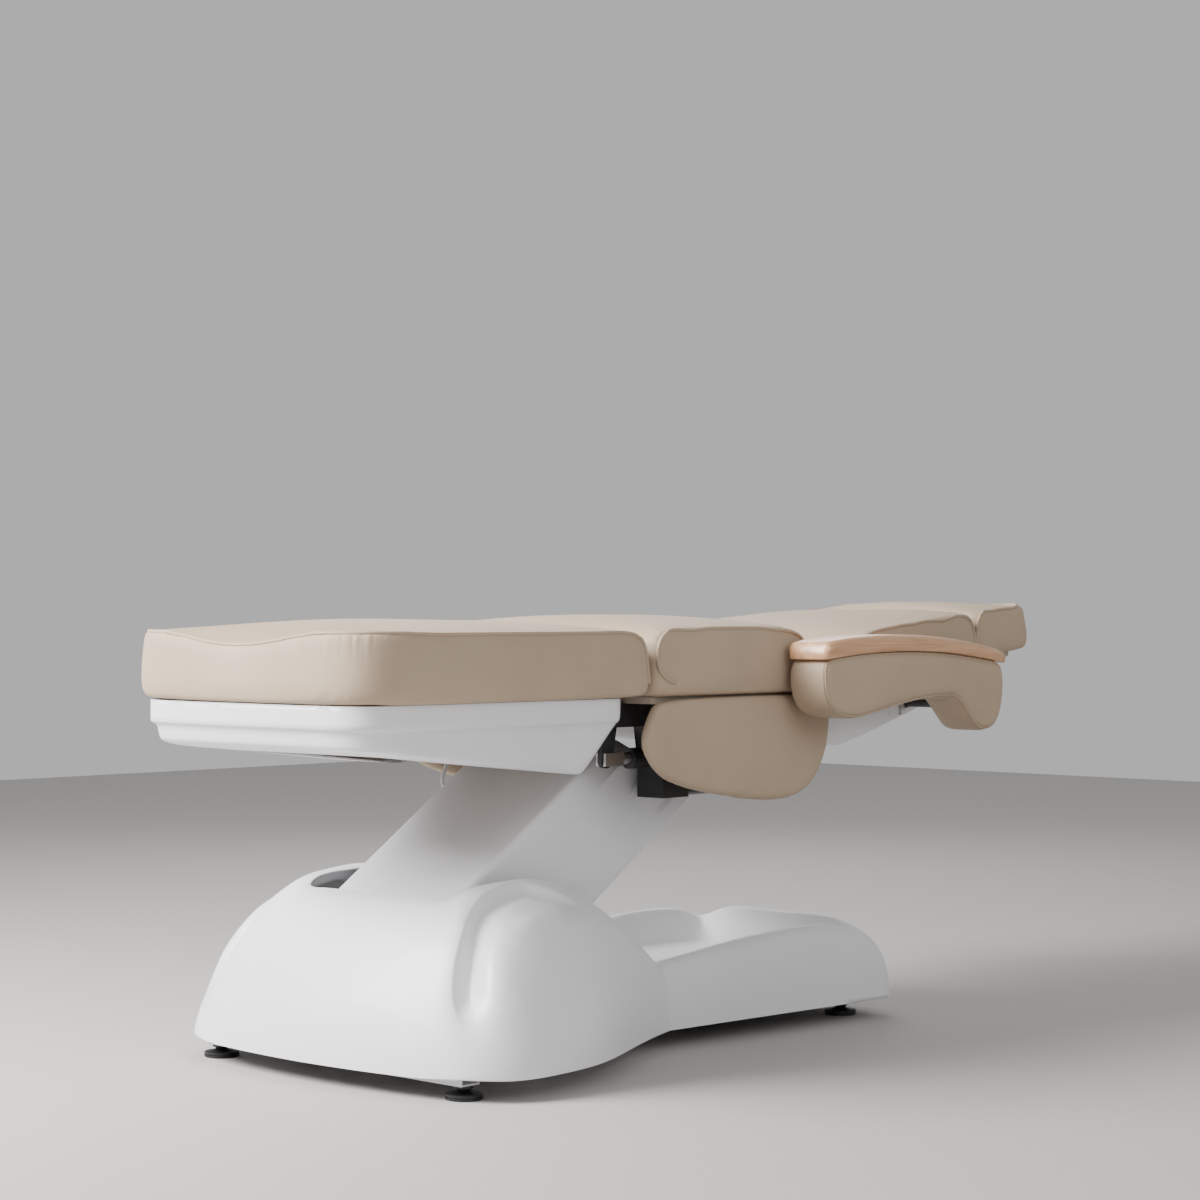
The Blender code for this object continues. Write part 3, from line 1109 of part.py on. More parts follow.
def leg_shell():
    lip_top = CUSHION_BOTTOM - GAP
    lip_low = lip_top - LEG_LIP_DROP
    foot, rear = LEG_LIP
    low_rear = rear - LIP_STEP / 2 - LEG_SHELL_SLANT

    def bowl(x):
        share = (x - foot) / (low_rear - foot)
        return lip_top - LEG_SHELL_FOOT_DEPTH - (LEG_SHELL_HEAD_DEPTH - LEG_SHELL_FOOT_DEPTH) * share

    def level(foot_less, rear_x, less, height):
        half = LEG_LIP_HALF - less
        corner = LEG_LIP_CORNER - less / 2
        return shell_level(foot + foot_less, rear_x, half, half, corner, height, 6, FOOT_BOW)

    edge, lower = LIP_ROUND, SHELL_ROUND
    levels = [level(0.0, rear, 0.0, lambda x: lip_top),
              level(0.0, rear, 0.0, lambda x: lip_low + edge),
              level(edge * 1.5, rear - edge / 2, edge * 1.25, lambda x: lip_low),
              level(LIP_STEP, rear - LIP_STEP / 2, LIP_STEP, lambda x: lip_low - edge / 2),
              level(LIP_STEP + lower / 2, low_rear + lower / 2, LIP_STEP + lower / 4,
                    lambda x: bowl(x) + lower),
              level(LIP_STEP + lower * 1.3, low_rear - lower / 2, LIP_STEP + lower * 1.1, bowl)]
    shell = undershell("leg_shell", levels, leg)
    channel_top = lip_low - LIP_ROUND
    cut(shell, block("arm_channel_tool", (LEG_HINGE_X - CHANNEL_FOOT, LEG_HINGE_X), (-SLOT_HALF, SLOT_HALF),
                     (channel_top - LEG_SHELL_HEAD_DEPTH, channel_top), ABS, leg))
    for side_name, side in SIDES:
        notch_y = span(side, LEG_PLATE_Y - 2 * RUN, LEG_PLATE_Y + PLATE + 2 * RUN)
        notch_x = (FOOT_X + LEG_PLATE_END - 2 * RUN, LEG_HINGE_X)
        cut(shell, block(f"{side_name}_leg_notch_tool", notch_x, notch_y,
                         (FRAME_BOTTOM - 2 * RUN, FRAME_TOP + 2 * RUN), ABS, leg))


def back_shell():
    lip_top = BACK_BOTTOM - GAP
    lip_low = lip_top - BACK_LIP_DROP
    front, end = BACK_LIP_FRONT, BACK_LIP_END

    def bowl(s):
        share = (s - front) / (end - front)
        shallower = BACK_SHELL_FRONT_DEPTH - BACK_SHELL_END_DEPTH
        return lip_top - BACK_SHELL_FRONT_DEPTH + shallower * share ** 1.5

    def level(front_less, end_less, less, height):
        s0, s1 = front + front_less, end - end_less
        half0, half1 = back_lip_half(s0) - less, back_lip_half(s1) - less
        return shell_level(s0, s1, half0, half1, BACK_LIP_CORNER, height)

    edge, lower = LIP_ROUND * 0.75, SHELL_ROUND * 0.7
    levels = [level(0.0, 0.0, 0.0, lambda s: lip_top),
              level(0.0, 0.0, 0.0, lambda s: lip_low + edge),
              level(0.0, edge, edge, lambda s: lip_low),
              level(edge / 2, LIP_STEP / 2, LIP_STEP * 0.4, lambda s: lip_low - edge / 2),
              level(edge, LIP_STEP * 0.8, LIP_STEP / 2, lambda s: bowl(s) + lower),
              level(edge + lower, LIP_STEP * 0.8 + lower, LIP_STEP, bowl)]
    shell = undershell("back_shell", levels, back)
    for side_name, side in SIDES:
        notch_y = span(side, LEG_PLATE_Y - 2 * RUN, LEG_PLATE_Y + PLATE + 2 * RUN)
        cut(shell, block(f"{side_name}_back_notch_tool", (0.0, HEAD_HINGE[0] + PLATE_NOTCH), notch_y,
                         (BACK_PLATE_N[0] - 2 * RUN, BACK_BOTTOM + 2 * RUN), ABS, back))
        cut(shell, extruded(f"{side_name}_spindle_hole_tool", circle(SPINDLE_AT, SPINDLE + 2 * RUN),
                            *span(side, LEG_PLATE_Y + PLATE * 3, SPINDLE_REACH), "Y", ABS, back))


leg_shell()
back_shell()

# Shares of a side panel's length and depth, round its lower edge from the foot end
APRON_SHAPE = ((0.066, 0.0), (0.0, 0.30), (0.004, 0.49), (0.086, 0.724), (0.279, 0.886), (0.587, 1.0),
               (0.782, 0.995), (0.901, 0.854), (0.977, 0.568), (1.0, 0.27), (1.0, 0.0))


def padded(name, outline, side, inner, inner_edge, outer, outer_edge, pivot):
    """An upholstered panel between two Y, its outline drawn in towards both flat faces."""
    layers = [(inner + depth, drawn) for depth, drawn in inner_edge]
    layers += [(outer - depth, drawn) for depth, drawn in outer_edge]
    rings = [[(x, side * y, z) for x, z in inset(outline, drawn)] for y, drawn in layers]
    return lofted(name, rings, LEATHER, pivot, ends="flat")


# Upholstered side panels
def apron(side_name, side):
    left, high = LEG_HINGE_X - APRON_FRONT, CUSHION_BOTTOM - GAP
    length = BACK_HINGE[0] + APRON_REAR - left
    outline = smooth([(left + length * a, high - APRON_DROP * d) for a, d in APRON_SHAPE], 3)
    padded(f"{side_name}_apron", outline, side, APRON_INNER, APRON_INNER_EDGE, APRON_OUTER,
           APRON_OUTER_EDGE, top)


# Armrests: an upholstered body on a spindle, under a wooden cap
def cap_under(x):
    share = (x - ARMREST_FRONT_X) / ARMREST_LENGTH
    bow = CAP_MID_Z - (CAP_FRONT_Z * 0.55 + CAP_REAR_Z * 0.45)
    return CAP_FRONT_Z + (CAP_REAR_Z - CAP_FRONT_Z) * share + 4 * bow * share * (1 - share)


# Shares of an armrest's length and depth, round its lower edge from the heel to the front
HEEL_SHAPE = ((1.0, 0.32), (0.981, 0.736), (0.935, 0.96), (0.869, 1.0), (0.808, 0.848), (0.739, 0.56),
              (0.670, 0.488), (0.496, 0.528))
FRONT_SHAPE = ((0.280, 0.915), (0.168, 1.0), (0.065, 0.906), (0.011, 0.623), (0.0, 0.283))
UPPER_STEPS = 8


def armrest_outline():
    edge = BODY_INSET / ARMREST_LENGTH
    shares = [edge + (1 - 2 * edge) * k / UPPER_STEPS for k in range(UPPER_STEPS + 1)]
    upper = [ARMREST_FRONT_X + ARMREST_LENGTH * a for a in shares]
    low = [(ARMREST_FRONT_X + ARMREST_LENGTH * a, CAP_REAR_Z - HEEL_DEPTH * d) for a, d in HEEL_SHAPE]
    low += [(ARMREST_FRONT_X + ARMREST_LENGTH * a, CAP_FRONT_Z - ARMREST_DEPTH * d) for a, d in FRONT_SHAPE]
    return [(x, cap_under(x) - GAP) for x in upper] + smooth(low, 2)


def cap_section(share):
    """A section across an armrest's cap, flat below and round above, narrower at the cap's ends."""
    x = ARMREST_FRONT_X + ARMREST_LENGTH * (1 - cos(pi * share)) / 2
    full = sqrt(max(0.0, 1 - (2 * share - 1) ** 8))
    half = ARMREST_WIDTH / 2 * (0.80 + 0.20 * full)
    thick = (CAP_THICK + (CAP_REAR_THICK - CAP_THICK) * share ** 2) * (0.55 + 0.45 * full)
    centre = (ARMREST_INNER + ARMREST_OUTER) / 2
    under = cap_under(x)
    bevel = thick * 0.45
    edge = BODY_INSET / 2
    section = ([(centre - half + edge, under), (centre + half - edge, under)]
               + arc((centre + half - bevel, under + thick - bevel), bevel, 0, 90, 4)
               + arc((centre - half + bevel, under + thick - bevel), bevel, 90, 180, 4))
    return [(x, y, z) for y, z in section]


CAP_STEPS = 14


def armrest(side_name, side):
    pivot = armrests[side_name]
    inner, outer = ARMREST_INNER, ARMREST_OUTER - BODY_INSET
    body = padded(f"{side_name}_armrest_body", armrest_outline(), side, inner, ARMREST_INNER_EDGE, outer,
                  ARMREST_OUTER_EDGE, pivot)
    hole_at = (SPINDLE_WORLD.translation.x, SPINDLE_WORLD.translation.z)
    cut(body, extruded(f"{side_name}_spindle_bore_tool", circle(hole_at, SPINDLE + GAP),
                       *span(side, inner - ARMREST_GAP, SPINDLE_REACH + 2 * GAP), "Y", LEATHER, pivot))
    sections = [[(x, side * y, z) for x, y, z in cap_section(k / CAP_STEPS)] for k in range(CAP_STEPS + 1)]
    lofted(f"{side_name}_armrest_cap", sections, OAK, pivot)


for side_name, side in SIDES:
    apron(side_name, side)
    armrest(side_name, side)

# Motor lead, clipped at both ends under the seat: places behind the leg hinge, across and below the frame
LEAD_FACE = FRONT_CROSS_X - CROSS_TUBE / 2
LEAD_START = (LEAD_FACE - GAP, ACTUATOR_Y - ACTUATOR_TUBE, LEG_HINGE[1])
LEAD_END = (LEAD_FACE + LEAD_CLIP, UPPER_PLATE_Y + PIVOT_PLATE / 2, UPPER_PIVOT[1] + LEAD_CLIP_RISE)
LEAD_LOOP = ((0.058, 0.026, -0.0073), (0.013, 0.016, 0.0217), (-0.022, 0.010, 0.0647),
             (-0.042, 0.008, 0.1027), (-0.027, 0.007, 0.1247), (0.008, 0.006, 0.1127),
             (0.043, 0.005, 0.0697))


def motor_lead():
    loop = [(LEG_HINGE_X + x, UPPER_PLATE_Y + y, FRAME_BOTTOM - drop) for x, y, drop in LEAD_LOOP]
    route = [(LEAD_START[0] - 5 * LEAD, *LEAD_START[1:]), *loop, (LEAD_END[0] - 7.5 * LEAD, *LEAD_END[1:])]
    points = [LEAD_START, *smooth(route, 2), LEAD_END]
    curve = bpy.data.curves.new("motor_lead", "CURVE")
    curve.dimensions = "3D"
    curve.bevel_depth = LEAD
    curve.bevel_resolution = 2
    curve.render_resolution_u = 0
    curve.use_fill_caps = True
    spline = curve.splines.new("POLY")
    spline.points.add(len(points) - 1)
    for point, place in zip(spline.points, points):
        point.co = (*place, 1.0)
    made = bpy.data.objects.new("motor_lead", curve)
    made.data.materials.append(GREY_PLASTIC)
    bpy.context.collection.objects.link(made)
    top.carry(made)


motor_lead()
bpy.context.view_layer.update()
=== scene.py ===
# %% [markdown]
# # An electric beauty bed, dressed for the studio
#
# The construction of this bed is already settled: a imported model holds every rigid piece, its joints and
# its real sizes in metres. This lesson loads that model as a fixed frame and then gives each piece the
# look of the real thing: stuffed leatherette with welted seams, satin moulded plastic, lacquered oak.
# Each step first says what the piece is on the real bed, how it could be made, and why one way was chosen.

# %% Load the frame
import json
from math import atan2, cos, exp, hypot, pi, radians, sin, sqrt

import bmesh
import bpy
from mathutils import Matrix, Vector
from mathutils.bvhtree import BVHTree
from mathutils.kdtree import KDTree


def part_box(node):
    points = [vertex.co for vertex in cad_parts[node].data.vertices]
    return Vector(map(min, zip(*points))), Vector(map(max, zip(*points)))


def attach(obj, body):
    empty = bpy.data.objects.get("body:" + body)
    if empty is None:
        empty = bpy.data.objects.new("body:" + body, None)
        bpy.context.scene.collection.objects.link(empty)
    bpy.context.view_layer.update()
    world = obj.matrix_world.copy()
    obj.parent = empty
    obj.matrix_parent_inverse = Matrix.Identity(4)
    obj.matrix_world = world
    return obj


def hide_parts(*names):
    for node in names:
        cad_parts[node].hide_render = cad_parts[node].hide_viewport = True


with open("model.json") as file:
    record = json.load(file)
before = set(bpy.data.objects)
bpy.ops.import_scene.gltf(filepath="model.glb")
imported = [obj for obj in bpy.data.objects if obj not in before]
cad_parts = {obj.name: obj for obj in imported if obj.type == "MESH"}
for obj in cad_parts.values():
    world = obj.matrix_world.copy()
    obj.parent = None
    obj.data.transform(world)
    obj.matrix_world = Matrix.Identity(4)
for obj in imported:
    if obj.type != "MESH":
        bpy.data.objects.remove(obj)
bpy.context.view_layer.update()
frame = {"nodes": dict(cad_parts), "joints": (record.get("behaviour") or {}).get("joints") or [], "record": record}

NODES = frame["nodes"]
JOINTS = {joint["name"]: joint for joint in frame["joints"]}
SLOT_OF = {part["node"]: part["material_slot"] for part in frame["record"]["subparts"]}
BODY_OF = {node: body for body, nodes in frame["record"]["behaviour"]["bodies"].items() for node in nodes}
SIDES = (("left", -1), ("right", 1))
print("nodes in the frame:", len(NODES))

# %% [markdown]
# ## Camera
#
# The photograph was taken with a level camera at seat height, well away from the near foot corner. The
# camera could be placed by eye, but this one is fitted to the picture. Its place along the
# bed is given from the hinge between leg and seat, because that line is easy to find both in the picture
# and in the frame. A level camera keeps upright edges parallel, and a very small shift sets the horizon.

# %% Place the camera
LEG_HINGE = Vector(JOINTS["leg_drop"]["pos_m"])
CAMERA_FROM_HINGE = Vector((-3.406, -3.4095, 0.7653))
CAMERA_YAW = -46.552
CAMERA_LENS = 82.49
HORIZON_SHIFT = 0.0077

camera_data = bpy.data.cameras.new("studio_camera")
camera_data.lens = CAMERA_LENS
camera_data.sensor_width = 36.0
camera_data.shift_y = HORIZON_SHIFT
camera = bpy.data.objects.new("studio_camera", camera_data)
camera.location = Vector((LEG_HINGE.x, 0.0, 0.0)) + CAMERA_FROM_HINGE
camera.rotation_euler = (radians(90), 0.0, radians(CAMERA_YAW))
bpy.context.scene.collection.objects.link(camera)
bpy.context.scene.camera = camera
print("camera at", tuple(round(c, 3) for c in camera.location))

# %% [markdown]
# ## Motor lead
#
# A short light-grey lead hangs in a loop below the leg section, clipped at both ends under the seat. Its
# outside is a ribbed sleeve, so the radius steps up and down along the run. The ribs could be rings set on
# a tube one by one, but a curve that has a radius at each of its points gives them all at once. The curve
# is then turned into a mesh, so that its ribs are part of the surface.

# %% Helpers for cords
def take(piece):
    """Select this piece alone and make it the active one."""
    bpy.ops.object.select_all(action="DESELECT")
    piece.select_set(True)
    bpy.context.view_layer.objects.active = piece
    return piece


def rounded_path(points, steps, closed=False):
    """A Catmull-Rom curve through points, with steps for each span."""
    count = len(points)
    made = []
    for i in range(count if closed else count - 1):
        near = [(i + k) % count if closed else min(max(i + k, 0), count - 1) for k in (-1, 0, 1, 2)]
        p0, p1, p2, p3 = (points[k] for k in near)
        for step in range(steps):
            t = step / steps
            made.append((2 * p1 + (p2 - p0) * t + (2 * p0 - 5 * p1 + 4 * p2 - p3) * t * t
                         + (3 * p1 - p0 - 3 * p2 + p3) * t ** 3) / 2)
    return made if closed else made + [points[-1]]


def even_path(points, step):
    """The same path with its points one step apart."""
    made = [points[0]]
    for point in points[1:]:
        while (point - made[-1]).length >= step:
            made.append(made[-1] + (point - made[-1]).normalized() * step)
    return made


def tube(name, points, radius, closed=False, radii=None, sides=2):
    """A round cord along points, made as a bevelled curve and turned into a mesh."""
    curve = bpy.data.curves.new(name, "CURVE")
    curve.dimensions = "3D"
    curve.bevel_depth = radius
    curve.bevel_resolution = sides
    curve.use_fill_caps = True
    line = curve.splines.new("POLY")
    line.points.add(len(points) - 1)
    line.use_cyclic_u = closed
    for i, point in enumerate(points):
        line.points[i].co = (*point, 1.0)
        line.points[i].radius = radii[i] if radii else 1.0
    made = bpy.data.objects.new(name, curve)
    bpy.context.scene.collection.objects.link(made)
    take(made)
    bpy.ops.object.convert(target="MESH")
    bpy.ops.object.shade_smooth()
    return bpy.context.object


# %% The ribbed lead
LEAD_RADIUS = 0.004
RIB_STEP = 0.0016
RIB_DEPTH = 0.16
LEAD_ROUTE = [LEG_HINGE + Vector(offset) for offset in (
    (0.1127, 0.186, 0.0), (0.0927, 0.186, 0.0), (0.058, 0.182, -0.0127), (0.013, 0.172, -0.0417),
    (-0.022, 0.166, -0.0847), (-0.042, 0.164, -0.1227), (-0.027, 0.163, -0.1447), (0.008, 0.162, -0.1327),
    (0.043, 0.161, -0.0897), (0.0873, 0.161, -0.0547), (0.1173, 0.161, -0.0547))]

lead_points = even_path(rounded_path(LEAD_ROUTE, 40), RIB_STEP)
ribs = [1.0 - RIB_DEPTH * (i % 2) for i in range(len(lead_points))]
lead = tube("motor_lead_sleeve", lead_points, LEAD_RADIUS, radii=ribs)
lead_length = sum((b - a).length for a, b in zip(lead_points, lead_points[1:]))
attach(lead, BODY_OF["motor_lead"])
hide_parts("motor_lead")
print(f"lead of {lead_length:.3f} m with {len(lead_points) // 2} ribs")

# %% [markdown]
# ## Shader maths
#
# A finish is a small sum: so much of one colour where the grain is high, so much roughness where a hand
# has rubbed. Wiring such sums node by node hides them, so one class wraps an output socket and lets plain
# Python operators add the Math nodes. Every other node comes from its one `node` method.

# %% A socket that does sums
class Wire:
    """An output socket of a material's tree, or the bare tree. Sums on wires add Math nodes."""

    def __init__(self, tree, socket=None):
        self.tree = tree
        self.socket = socket

    def node(self, kind, settings=None, values=None, out=0):
        """Add a node of this type, set it up, feed its sockets and give back one of its outputs."""
        made = self.tree.nodes.new(kind)
        for name, setting in (settings or {}).items():
            setattr(made, name, setting)
        for key, value in (values or {}).items():
            if isinstance(value, Wire):
                self.tree.links.new(value.socket, made.inputs[key])
            else:
                made.inputs[key].default_value = value
        return Wire(self.tree, made.outputs[out])

    def sum(self, operation, first, second):
        return self.node("ShaderNodeMath", {"operation": operation}, {0: first, 1: second})

    def __add__(self, other):
        return self.sum("ADD", self, other)

    def __sub__(self, other):
        return self.sum("SUBTRACT", self, other)

    def __rsub__(self, other):
        return self.sum("SUBTRACT", other, self)

    def __mul__(self, other):
        return self.sum("MULTIPLY", self, other)

    __radd__ = __add__
    __rmul__ = __mul__

    def between(self, low, high):
        """This value spread from 0 at low to 1 at high, and held there."""
        return self.node("ShaderNodeMapRange", {"interpolation_type": "SMOOTHSTEP"},
                         {"Value": self, "From Min": low, "From Max": high})

    def tint(self, first, second):
        """The first colour where this is 0 and the second where it is 1."""
        colours = [c if isinstance(c, Wire) else (*c, 1.0) for c in (first, second)]
        return self.node("ShaderNodeMix", {"data_type": "RGBA"},
                         {0: self, 6: colours[0], 7: colours[1]}, out=2)


print("sums ready on", Wire.__name__)

# %% [markdown]
# ## Finishes
#
# The photograph shows few materials, and each is more than a colour. Leatherette has a pebbled emboss a
# millimetre across and broad, faint changes of tone. The moulded covers have a very fine orange peel. The
# armrest caps are pale lacquered oak with a grain that runs along the rest. All of them read Object
# coordinates in metres, so one recipe fits every piece at its real scale. Each colour is a pair of tones,
# and a noise mixes the two.

# %% Helpers for finishes
def finish(name, recipe, **constants):
    """A material. recipe(bare tree) gives links for Base Color, Roughness and a height for Bump."""
    made = bpy.data.materials.new(name)
    made.use_nodes = True
    tree = made.node_tree
    shader = tree.nodes["Principled BSDF"]
    for key, value in constants.items():
        shader.inputs[key.replace("_", " ")].default_value = value
    bare = Wire(tree)
    looks = recipe(bare)
    bump = looks.pop("Bump", None)
    if bump:
        height, strength, depth = bump
        looks["Normal"] = bare.node("ShaderNodeBump", None,
                                    {"Height": height, "Strength": strength, "Distance": depth})
    for key, value in looks.items():
        tree.links.new(value.socket, shader.inputs[key])
    return made


def place(bare, scale=(1.0, 1.0, 1.0)):
    """Object coordinates in metres, stretched by scale."""
    spot = bare.node("ShaderNodeTexCoord", out=3)
    return bare.node("ShaderNodeMapping", None, {"Vector": spot, "Scale": scale})


def cloud(bare, spot, scale, detail=2.0, rough=0.5):
    return bare.node("ShaderNodeTexNoise", None,
                     {"Vector": spot, "Scale": scale, "Detail": detail, "Roughness": rough})


def pebble(bare, spot, scale):
    return bare.node("ShaderNodeTexVoronoi", {"feature": "F1"}, {"Vector": spot, "Scale": scale})


# %% Leatherette
TAUPE = ((0.455, 0.350, 0.252), (0.400, 0.303, 0.214))
PEBBLES_PER_METRE = 850.0


def leatherette(bare):
    spot = place(bare)
    tone = cloud(bare, spot, 5.0, 3.0).between(0.3, 0.7)
    pores = pebble(bare, spot, PEBBLES_PER_METRE)
    creep = cloud(bare, spot, 95.0, 3.0)
    dark = pores.between(0.45, 0.85) * 0.35 + tone * 0.65
    return {
        "Base Color": dark.tint(*TAUPE),
        "Roughness": 0.50 + creep * 0.10 + pores * 0.06,
        "Bump": (creep * 1.2 - pores * 0.6, 0.16, 0.0006),
    }


FINISHES = {"leatherette": finish("taupe_leatherette", leatherette, Specular_IOR_Level=0.26)}
print("pebbles of the emboss per metre:", PEBBLES_PER_METRE)

# %% Moulded plastic and powder coat
PEEL_PER_METRE = 620.0
WHITE = ((0.795, 0.795, 0.815), (0.755, 0.755, 0.780))
CHARCOAL = ((0.030, 0.031, 0.034), (0.018, 0.018, 0.020))
BLACK = ((0.016, 0.016, 0.017), (0.010, 0.010, 0.011))
LIGHT_GREY = ((0.62, 0.62, 0.63), (0.52, 0.52, 0.53))


def moulded_white(bare):
    spot = place(bare)
    peel = cloud(bare, spot, PEEL_PER_METRE, 1.0)
    drift = cloud(bare, spot, 3.0, 2.0).between(0.3, 0.7)
    return {
        "Base Color": drift.tint(*WHITE),
        "Roughness": 0.34 + peel * 0.10,
        "Bump": (peel, 0.10, 0.0005),
    }


def coated(light, deep, rough, grains):
    """A powder coat: fine speckled relief over a sprayed colour."""
    def recipe(bare):
        spot = place(bare)
        grain = cloud(bare, spot, grains, 2.0)
        drift = cloud(bare, spot, 9.0, 2.0).between(0.35, 0.65)
        return {
            "Base Color": (drift * 0.7 + grain * 0.3).tint(light, deep),
            "Roughness": rough + grain * 0.12,
            "Bump": (grain, 0.15, 0.0004),
        }
    return recipe


FINISHES["white_abs"] = finish("moulded_white", moulded_white, Coat_Weight=0.08)
FINISHES["white_steel"] = finish("white_powder_coat", coated(*WHITE, rough=0.30, grains=480.0))
FINISHES["dark_steel"] = finish("dark_powder_coat", coated(*CHARCOAL, rough=0.42, grains=700.0))
FINISHES["black_plastic"] = finish("black_plastic", coated(*BLACK, rough=0.36, grains=900.0))
FINISHES["grey_plastic"] = finish("grey_sleeve", coated(*LIGHT_GREY, rough=0.45, grains=500.0))
print("moulded and sprayed finishes:", len(FINISHES) - 1)

# %% Turned steel, oak and plywood
STEEL = ((0.58, 0.58, 0.60), (0.66, 0.66, 0.68))
STEEL_GRAINS = (900.0, 900.0, 900.0)
OAK = ((0.660, 0.385, 0.212), (0.400, 0.190, 0.085))
OAK_BANDS = (3.0, 60.0, 75.0)
OAK_STREAKS = (9.0, 260.0, 320.0)
OAK_FLECKS = (55.0, 900.0, 900.0)
VENEER = ((0.50, 0.43, 0.35), (0.36, 0.29, 0.22))
VENEER_LAYERS = (0.0, 0.0, 330.0)
VENEER_GRAIN = (4.0, 60.0, 60.0)


def turned_steel(bare):
    grain = cloud(bare, place(bare, STEEL_GRAINS), 1.0, 1.0)
    return {
        "Base Color": grain.tint(*STEEL),
        "Roughness": 0.22 + grain * 0.16,
    }


def oak(bare):
    """Grain along X: broad growth bands, fine streaks and short dark flecks."""
    band = cloud(bare, place(bare, OAK_BANDS), 1.0, 3.0, 0.55).between(0.30, 0.72)
    streak = cloud(bare, place(bare, OAK_STREAKS), 1.0, 2.0).between(0.35, 0.75)
    fleck = cloud(bare, place(bare, OAK_FLECKS), 1.0, 1.0).between(0.66, 0.74)
    dark = band * 0.48 + streak * 0.40 + fleck * 0.24
    return {
        "Base Color": dark.tint(*OAK),
        "Roughness": 0.30 + streak * 0.08,
        "Bump": (streak * 0.4 - fleck * 0.5, 0.10, 0.0004),
    }


def plywood(bare):
    """Veneers on edge, about 1 mm each, with a face grain."""
    layer = place(bare, VENEER_LAYERS)
    veneer = bare.node("ShaderNodeTexWave", {"wave_type": "BANDS", "bands_direction": "Z"},
                       {"Vector": layer, "Scale": 1.0})
    face = cloud(bare, place(bare, VENEER_GRAIN), 1.0, 3.0)
    return {
        "Base Color": (veneer * 0.5 + face * 0.5).tint(*VENEER),
        "Roughness": 0.62 + face * 0.15,
        "Bump": (face, 0.2, 0.0004),
    }


FINISHES["bright_steel"] = finish("turned_steel", turned_steel, Metallic=1.0)
FINISHES["oak"] = finish("lacquered_oak", oak, Coat_Weight=0.35, Coat_Roughness=0.18)
FINISHES["plywood"] = finish("plywood", plywood)

for name, node in NODES.items():
    node.data.materials.clear()
    node.data.materials.append(FINISHES[SLOT_OF[name]])
lead.data.materials.append(FINISHES[SLOT_OF["motor_lead"]])
print("finishes:", ", ".join(sorted(FINISHES)))

# %% [markdown]
# ## Working copies
#
# The solids of the frame are right in size and place, but they are plain and coarse. A piece that needs a
# finer surface starts as a copy of its solid: the loose triangles are merged and paired into quads, so
# that Subdivision Surface follows the run of the form. Edges that are sharp on the real piece are creased
# first, because subdivision would round them away.

# %% Helpers for working copies
MERGED_WITHIN = 0.00002
PAIRED_WITHIN = radians(60)


def apply(piece, kind, **settings):
    """Add a modifier with these settings and apply it at once."""
    take(piece)
    step = piece.modifiers.new(kind.lower(), kind)
    for key, value in settings.items():
        setattr(step, key, value)
    bpy.ops.object.modifier_apply(modifier=step.name)
    return piece


def subdivide(piece, levels):
    return apply(piece, "SUBSURF", levels=levels, render_levels=levels)


def copy_of(node, name):
    """A merged copy of a CAD node's mesh, with its triangles paired into quads."""
    piece = bpy.data.objects.new(name, NODES[node].data.copy())
    bpy.context.scene.collection.objects.link(piece)
    take(piece)
    bpy.ops.object.mode_set(mode="EDIT")
    bpy.ops.mesh.select_all(action="SELECT")
    bpy.ops.mesh.remove_doubles(threshold=MERGED_WITHIN)
    bpy.ops.mesh.tris_convert_to_quads(face_threshold=PAIRED_WITHIN, shape_threshold=PAIRED_WITHIN)
    bpy.ops.object.mode_set(mode="OBJECT")
    return piece


def crease(piece, angle):
    """Crease each edge whose faces meet at more than this many degrees."""
    shape = bmesh.new()
    shape.from_mesh(piece.data)
    weights = shape.edges.layers.float.new("crease_edge")
    for edge in shape.edges:
        if len(edge.link_faces) != 2 or edge.calc_face_angle() > radians(angle):
            edge[weights] = 1.0
    shape.to_mesh(piece.data)
    shape.free()
    return piece


def ease(share):
    """A share held between 0 and 1, with a soft start and a soft end."""
    share = min(1.0, max(0.0, share))
    return share * share * (3 - 2 * share)


def smooth_shade(piece, angle=40):
    take(piece)
    bpy.ops.object.shade_smooth_by_angle(angle=radians(angle))
    return piece


def dress(piece, slot, body, *stands_for):
    """Give a finished piece its material and its body, and let it stand for CAD nodes."""
    piece.data.materials.clear()
    piece.data.materials.append(FINISHES[slot])
    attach(piece, body)
    if stands_for:
        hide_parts(*stands_for)
    return piece


print("a working copy of leg_shell has", len(NODES["leg_shell"].data.polygons), "triangles to start from")

# %% [markdown]
# ## Where the seams run
#
# Each section of the top is foam in a sewn leatherette cover. Two side bands hang at its long sides, and a
# top panel runs over the foam and down into the valleys between the sections. Band and panel meet in a
# welted seam: along the upper edge, and down the corners at the valleys. At the foot end and at the head
# end the band runs on round the corner. The seam could be drawn by hand, but the solids already hold it:
# seen from the middle of a side, it is the point in each direction that lies furthest out and sideways.

# %% Find a seam on a cushion
SEAM_PITCH = 0.014
SEAM_STEP = 0.006
ROUGH_ROUNDS = 3
FINE_ROUNDS = 14
BELOW_SEAM = 0.012
RISE_WEIGHT = 1.5
BACK_TILT = radians(5)
UPRIGHT = (Vector((1, 0, 0)), Vector((0, 0, 1)))
RECLINED = (Vector((cos(BACK_TILT), 0, sin(BACK_TILT))), Vector((-sin(BACK_TILT), 0, cos(BACK_TILT))))


def middle_and_half(values):
    return (max(values) + min(values)) / 2, (max(values) - min(values)) / 2


def walk(a, b, half_a, half_b):
    """How far round a box a direction points, from the middle of its +b edge and positive towards +a."""
    grow = 1 / max(abs(a) / half_a, abs(b) / half_b, 1e-6)
    a, b = a * grow, b * grow
    if b > half_b * 0.9999:
        return a
    return (half_a + half_b - b) * (1 if a > 0 else -1)


